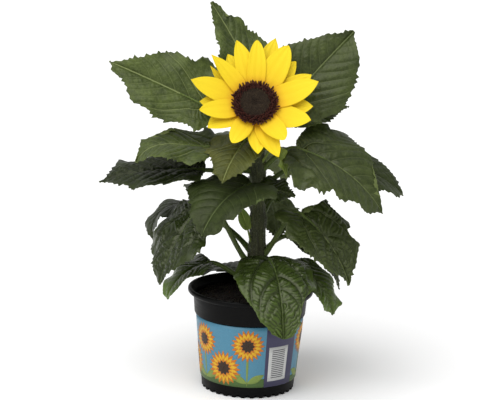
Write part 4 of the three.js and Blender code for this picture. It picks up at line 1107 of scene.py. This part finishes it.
def petalFinish():
    # newly opened ray petal: satin golden yellow, warmer and darker towards its root, partly its own colour
    # and partly painted shade where the petals crowd at the disc, with fine lengthwise folds
    material, tree, _ = startMaterial("goldenPetal")
    along, across, number = [
        addNode(tree, "ShaderNodeAttribute", {"attribute_name": name}).outputs["Fac"]
        for name in ("along", "across", "number")]
    ramp = addNode(tree, "ShaderNodeValToRGB", None, {0: along})
    # the orange root stop is partly the petal's own colour, partly painted shade
    stops = [(0.0, "d0801a"), (0.3, "e4bf24"), (0.55, "e9cc28"), (1.0, "ecd52e")]
    for place, _ in stops[1:-1]:
        ramp.color_ramp.elements.new(place)
    for element, (place, hexCode) in zip(ramp.color_ramp.elements, stops):
        element.position = place
        element.color = linear(hexCode)
    strand = addNode(tree, "ShaderNodeCombineXYZ", None, {0: across, 1: along, 2: number})
    stretched = addNode(tree, "ShaderNodeMapping", None, {"Vector": strand, "Scale": (9, 1.2, 7)})
    veins = addNode(tree, "ShaderNodeTexNoise", None,
                    {"Vector": stretched, "Scale": 1.0, "Detail": 3, "Roughness": 0.6})
    shade = addNode(tree, "ShaderNodeMapRange", None, {0: veins, 1: 0.35, 2: 0.7, 3: 0.0, 4: 0.3})
    colour = addNode(tree, "ShaderNodeMix", {"data_type": "RGBA"}, {0: shade, 6: ramp, 7: linear("deb822")})
    relief = addNode(tree, "ShaderNodeBump", None, {"Height": veins, "Strength": 0.35, "Distance": 0.4 * mm})
    return endMaterial(material, {"Base Color": colour, "Normal": relief, "IOR": 1.4, "Roughness": 0.6,
                                  "Specular IOR Level": 0.15})


# one petal along the flower's local X axis, then turned to its angle
def petalBody(angle, reach, base, slope, seed, own):
    looks = dict(plainPetal, **own)
    rows, columns = petal["rows"], petal["columns"]
    u = np.linspace(0, 1, rows)[:, None]
    v = np.linspace(1, -1, columns)[None, :]
    chance = np.random.default_rng(seed)
    phase = chance.random(3) * 6.28
    curl = looks["curl"] + chance.uniform(-0.2, 0.2)
    bow = looks["bow"] + chance.uniform(-2, 2)
    span = reach - petal["root"]
    left = 1.0001 - u
    lens = (u + 0.16) ** 0.5 * left**0.6 / 0.54
    half = (lens**-5 + (looks["point"] * left) ** -5) ** -0.2 * petal["width"] / 2 * looks["width"]
    radius = petal["root"] + span * u + 0 * v
    height = base + span * math.tan(math.radians(slope)) * u**1.4 + 0 * v
    height = height + curl * span * np.clip(u - 0.5, 0, 1) ** 2
    height = height + (1.1 + looks["cup"]) * v**2 * u * half / 9 + 0.8 * np.sin(3.5 * u + phase[0]) * v * u
    crease = np.sin(9.4 * v + phase[1] + 1.5 * u) * np.clip(u * 5, 0, 1) * (1 - v**4)
    height = height + petal["crease"] * crease + 0.5 * np.sin(9 * u + phase[2]) * v**2 * u
    height = height + looks["twist"] * u * v * half
    y = half * v * (1 - 0.02 * abs(looks["cup"]) * u) + bow * (u**2 - u)
    surface = np.stack([radius + 0.04 * height, y, height], -1)
    surface[-1] = surface[-1].mean(0)
    bottom = surface - skinNormals(surface) * petal["thickness"]
    points, faces, used = sheetBody(surface, bottom, False, True)
    fields = [np.tile(np.broadcast_to(values, (rows, columns)).reshape(-1)[used], 2) for values in (u, v)]
    return points @ spinAbout(math.radians(angle)), faces, fields


def makeWhorl(name, petals, base, slope):
    bodies = []
    fields = {"along": [], "across": [], "number": []}
    for i, (angle, reach, looks) in enumerate(petals):
        lowered = base - (i % 2) * petal["step"]
        points, faces, (u, v) = petalBody(angle, reach, lowered, slope, 100 + i, looks)
        bodies.append((onHead(points), faces))
        for key, values in (("along", u), ("across", v), ("number", np.full(len(u), float(i)))):
            fields[key].append(values)
    points, faces = joinBodies(bodies)
    joined = {key: np.concatenate(values) for key, values in fields.items()}
    addPiece("ray_" + name, points, faces, petalSkin, [name], joined)


petalSkin = petalFinish()
makeWhorl("petals_back", backPetals, -3, 6)
makeWhorl("petals_front", frontPetals, 0, 14)


def discFinish(name, deep, bright, roughness):
    # disc florets: velvety and dark, speckled a little lighter and darker
    material, tree, coords = startMaterial(name)
    speckle = addNode(tree, "ShaderNodeTexNoise", None,
                      {"Vector": coords, "Scale": perSize(1.6), "Detail": 3, "Roughness": 0.6})
    share = addNode(tree, "ShaderNodeMapRange", None, {0: speckle, 1: 0.35, 2: 0.65, 3: 0, 4: 1})
    colour = addNode(tree, "ShaderNodeMix", {"data_type": "RGBA"},
                     {0: share, 6: linear(deep), 7: linear(bright)})
    return endMaterial(material, {"Base Color": colour, "IOR": 1.4, "Roughness": roughness})


# florets in the sunflower's spiral: each a golden angle on, its radius by the root of its number
def spiralTree():
    tree, given = startTree("floretSpiral", {
        "Piece": "Object", "Count": "Int", "First": "Int", "Spacing": "Float", "Inner": "Float",
        "Outer": "Float", "Inner Height": "Float", "Outer Height": "Float", "Inner Lean": "Float",
        "Outer Lean": "Float", "Smallest": "Float", "Largest": "Float", "Wobble": "Float", "Seed": "Int",
        "Material": "Material"})
    spots = addNode(tree, "GeometryNodePoints", None, {"Count": given["Count"]})
    index = addNode(tree, "GeometryNodeInputIndex").outputs[0]
    number = addNode(tree, "ShaderNodeMath", {"operation": "ADD"}, {0: index, 1: given["First"]})
    golden = math.radians(137.508)
    angle = addNode(tree, "ShaderNodeMath", {"operation": "MULTIPLY"}, {0: number, 1: golden})
    root = addNode(tree, "ShaderNodeMath", {"operation": "SQRT"}, {0: number})
    radius = addNode(tree, "ShaderNodeMath", {"operation": "MULTIPLY"}, {0: root, 1: given["Spacing"]})
    cosine = addNode(tree, "ShaderNodeMath", {"operation": "COSINE"}, {0: angle})
    sine = addNode(tree, "ShaderNodeMath", {"operation": "SINE"}, {0: angle})
    x = addNode(tree, "ShaderNodeMath", {"operation": "MULTIPLY"}, {0: radius, 1: cosine})
    y = addNode(tree, "ShaderNodeMath", {"operation": "MULTIPLY"}, {0: radius, 1: sine})
    height = addNode(tree, "ShaderNodeMapRange", {"interpolation_type": "SMOOTHSTEP"},
                     {0: radius, 1: given["Inner"], 2: given["Outer"], 3: given["Inner Height"],
                      4: given["Outer Height"]})
    lean = addNode(tree, "ShaderNodeMapRange", None,
                   {0: radius, 1: given["Inner"], 2: given["Outer"], 3: given["Inner Lean"],
                    4: given["Outer Lean"]})
    place = addNode(tree, "ShaderNodeCombineXYZ", None, {0: x, 1: y, 2: height})
    spots = addNode(tree, "GeometryNodeSetPosition", None, {"Geometry": spots, "Position": place})
    less = addNode(tree, "ShaderNodeMath", {"operation": "MULTIPLY"}, {0: given["Wobble"], 1: -1})
    sway = addNode(tree, "FunctionNodeRandomValue", None,
                   {2: less, 3: given["Wobble"], "Seed": given["Seed"]})
    leant = addNode(tree, "ShaderNodeMath", {"operation": "ADD"}, {0: lean, 1: sway})
    stand = addNode(tree, "ShaderNodeCombineXYZ", None, {1: leant, 2: angle})
    size = addNode(tree, "FunctionNodeRandomValue", None,
                   {2: given["Smallest"], 3: given["Largest"], "Seed": given["Seed"]})
    piece = addNode(tree, "GeometryNodeObjectInfo", None, {"Object": given["Piece"]})
    copies = addNode(tree, "GeometryNodeInstanceOnPoints", None,
                     {"Points": spots, "Instance": piece.outputs["Geometry"],
                      "Rotation": stand, "Scale": size})
    endTree(tree, copies, given["Material"])
    return tree


# both kinds of floret: how many, the first one's number in the spiral, and heights and leans that go
# over from the inner radius to the outer one
closedFlorets = {"Count": 330, "First": 1, "Spacing": 0.77 * mm, "Inner": 0.8 * mm, "Outer": 5 * mm,
                 "Inner Height": 0.3 * mm, "Outer Height": 3.7 * mm, "Inner Lean": -0.5, "Outer Lean": 0.05,
                 "Smallest": 0.8, "Largest": 1.05, "Wobble": 0.08, "Seed": 2}
openFlorets = {"Count": 310, "First": 290, "Spacing": 0.79 * mm, "Inner": 13.2 * mm, "Outer": 19.4 * mm,
               "Inner Height": 1.6 * mm, "Outer Height": 0.6 * mm, "Inner Lean": 0.02, "Outer Lean": 0.75,
               "Smallest": 0.8, "Largest": 1.25, "Wobble": 0.22, "Seed": 4}
discShape = {"bud": [[0.35, -0.6], [0.62, 0.2], [0.55, 0.9], [0.18, 1.35]],
             "spike": [[0.4, -0.8], [0.6, 1.2], [0.7, 2.6], [0.85, 3.4], [0.35, 4.0], [0.08, 4.8]],
             "bed": [[4, 0.4], [19, 0.6], [19.4, 1.2], [18, 2.0], [14.6, 2.4], [12, 3.4], [5, 3.2], [2, 0.9]]}


def makeDisc():
    tree = spiralTree()
    headMatrix = Matrix(headFrame.tolist()).to_4x4()
    headMatrix.translation = (headCentre * mm).tolist()
    bud = pattern("bud", *ringBody(turnedRings(discShape["bud"], 6), False))
    buds = grow("disc_buds", tree, {
        **closedFlorets, "Piece": bud, "Material": discFinish("closedFlorets", "2a2117", "534431", 0.75)})
    spike = pattern("floret", *ringBody(turnedRings(discShape["spike"], 5), False))
    fringe = grow("disc_florets", tree, {
        **openFlorets, "Piece": spike, "Material": discFinish("openFlorets", "260f0a", "542417", 0.7)})
    for part, used in ((buds, bud), (fringe, spike)):
        part.data.transform(headMatrix)
        bpy.data.objects.remove(used)
    points, faces = ringBody(turnedRings(discShape["bed"], 48), False)
    addPiece("disc_bed", onHead(points), faces, discFinish("discBed", "1a1110", "2a1c18", 0.9))
    placePiece(buds, ["disc_centre"])
    placePiece(fringe, ["disc_fringe"])


makeDisc()


# green cup behind the petals, with rows of pointed bracts
cup = {"profile": [[6, -15], [11, -12.5], [15, -9], [17, -5.8], [16, -4.6], [6, -4.6]], "hairs": 0.25,
       "thickness": 0.7, "count": 13,
       "rows": [{"root": 12, "width": 11, "length": 21, "height": -6.2, "lean": -4},
                {"root": 9, "width": 9, "length": 16, "height": -9.5, "lean": -14}]}


def bractShape(width, length):
    u = np.linspace(0, 1, 12)[:, None]
    v = np.linspace(1, -1, 7)[None, :]
    half = width / 2 * np.clip(1 - u, 0, 1) ** 0.7 * (0.75 + 0.9 * u - 0.4 * u**2)
    height = -0.07 * length * u + 0.16 * length * u**3 + 0.9 * v**2 * (1 - u) + 0 * v
    surface = np.stack([length * u + 0 * v, half * v, height], -1)
    surface[-1] = surface[-1].mean(0)
    points, faces, _ = sheetBody(surface, surface - [0, 0, cup["thickness"]], False, True)
    return points, faces


def makeCup():
    points, faces = ringBody(turnedRings(eased(cup["profile"], 2.0), 64), True)
    bodies = [(onHead(points), faces)]
    for number, row in enumerate(cup["rows"]):
        chance = np.random.default_rng(number + 70)
        for i in range(cup["count"]):
            shape, shapeFaces = bractShape(row["width"], row["length"] * chance.uniform(0.9, 1.08))
            tilt = math.radians(row["lean"] + chance.uniform(-5, 5))
            turn = 2 * math.pi * (i + 0.5 * number) / cup["count"] + chance.uniform(-0.06, 0.06)
            x, y, z = shape.T
            bent = np.column_stack([x * math.cos(tilt) - z * math.sin(tilt) + row["root"], y,
                                    x * math.sin(tilt) + z * math.cos(tilt) + row["height"]])
            bodies.append((onHead(bent @ spinAbout(turn)), shapeFaces))
    points, faces = joinBodies(bodies)
    cupPiece = addPiece("bract_cup", points, faces, stemSkin, ["receptacle"])
    makeHairs(cupPiece, "cup_hairs", cup["hairs"])


makeCup()
print("flower head made")
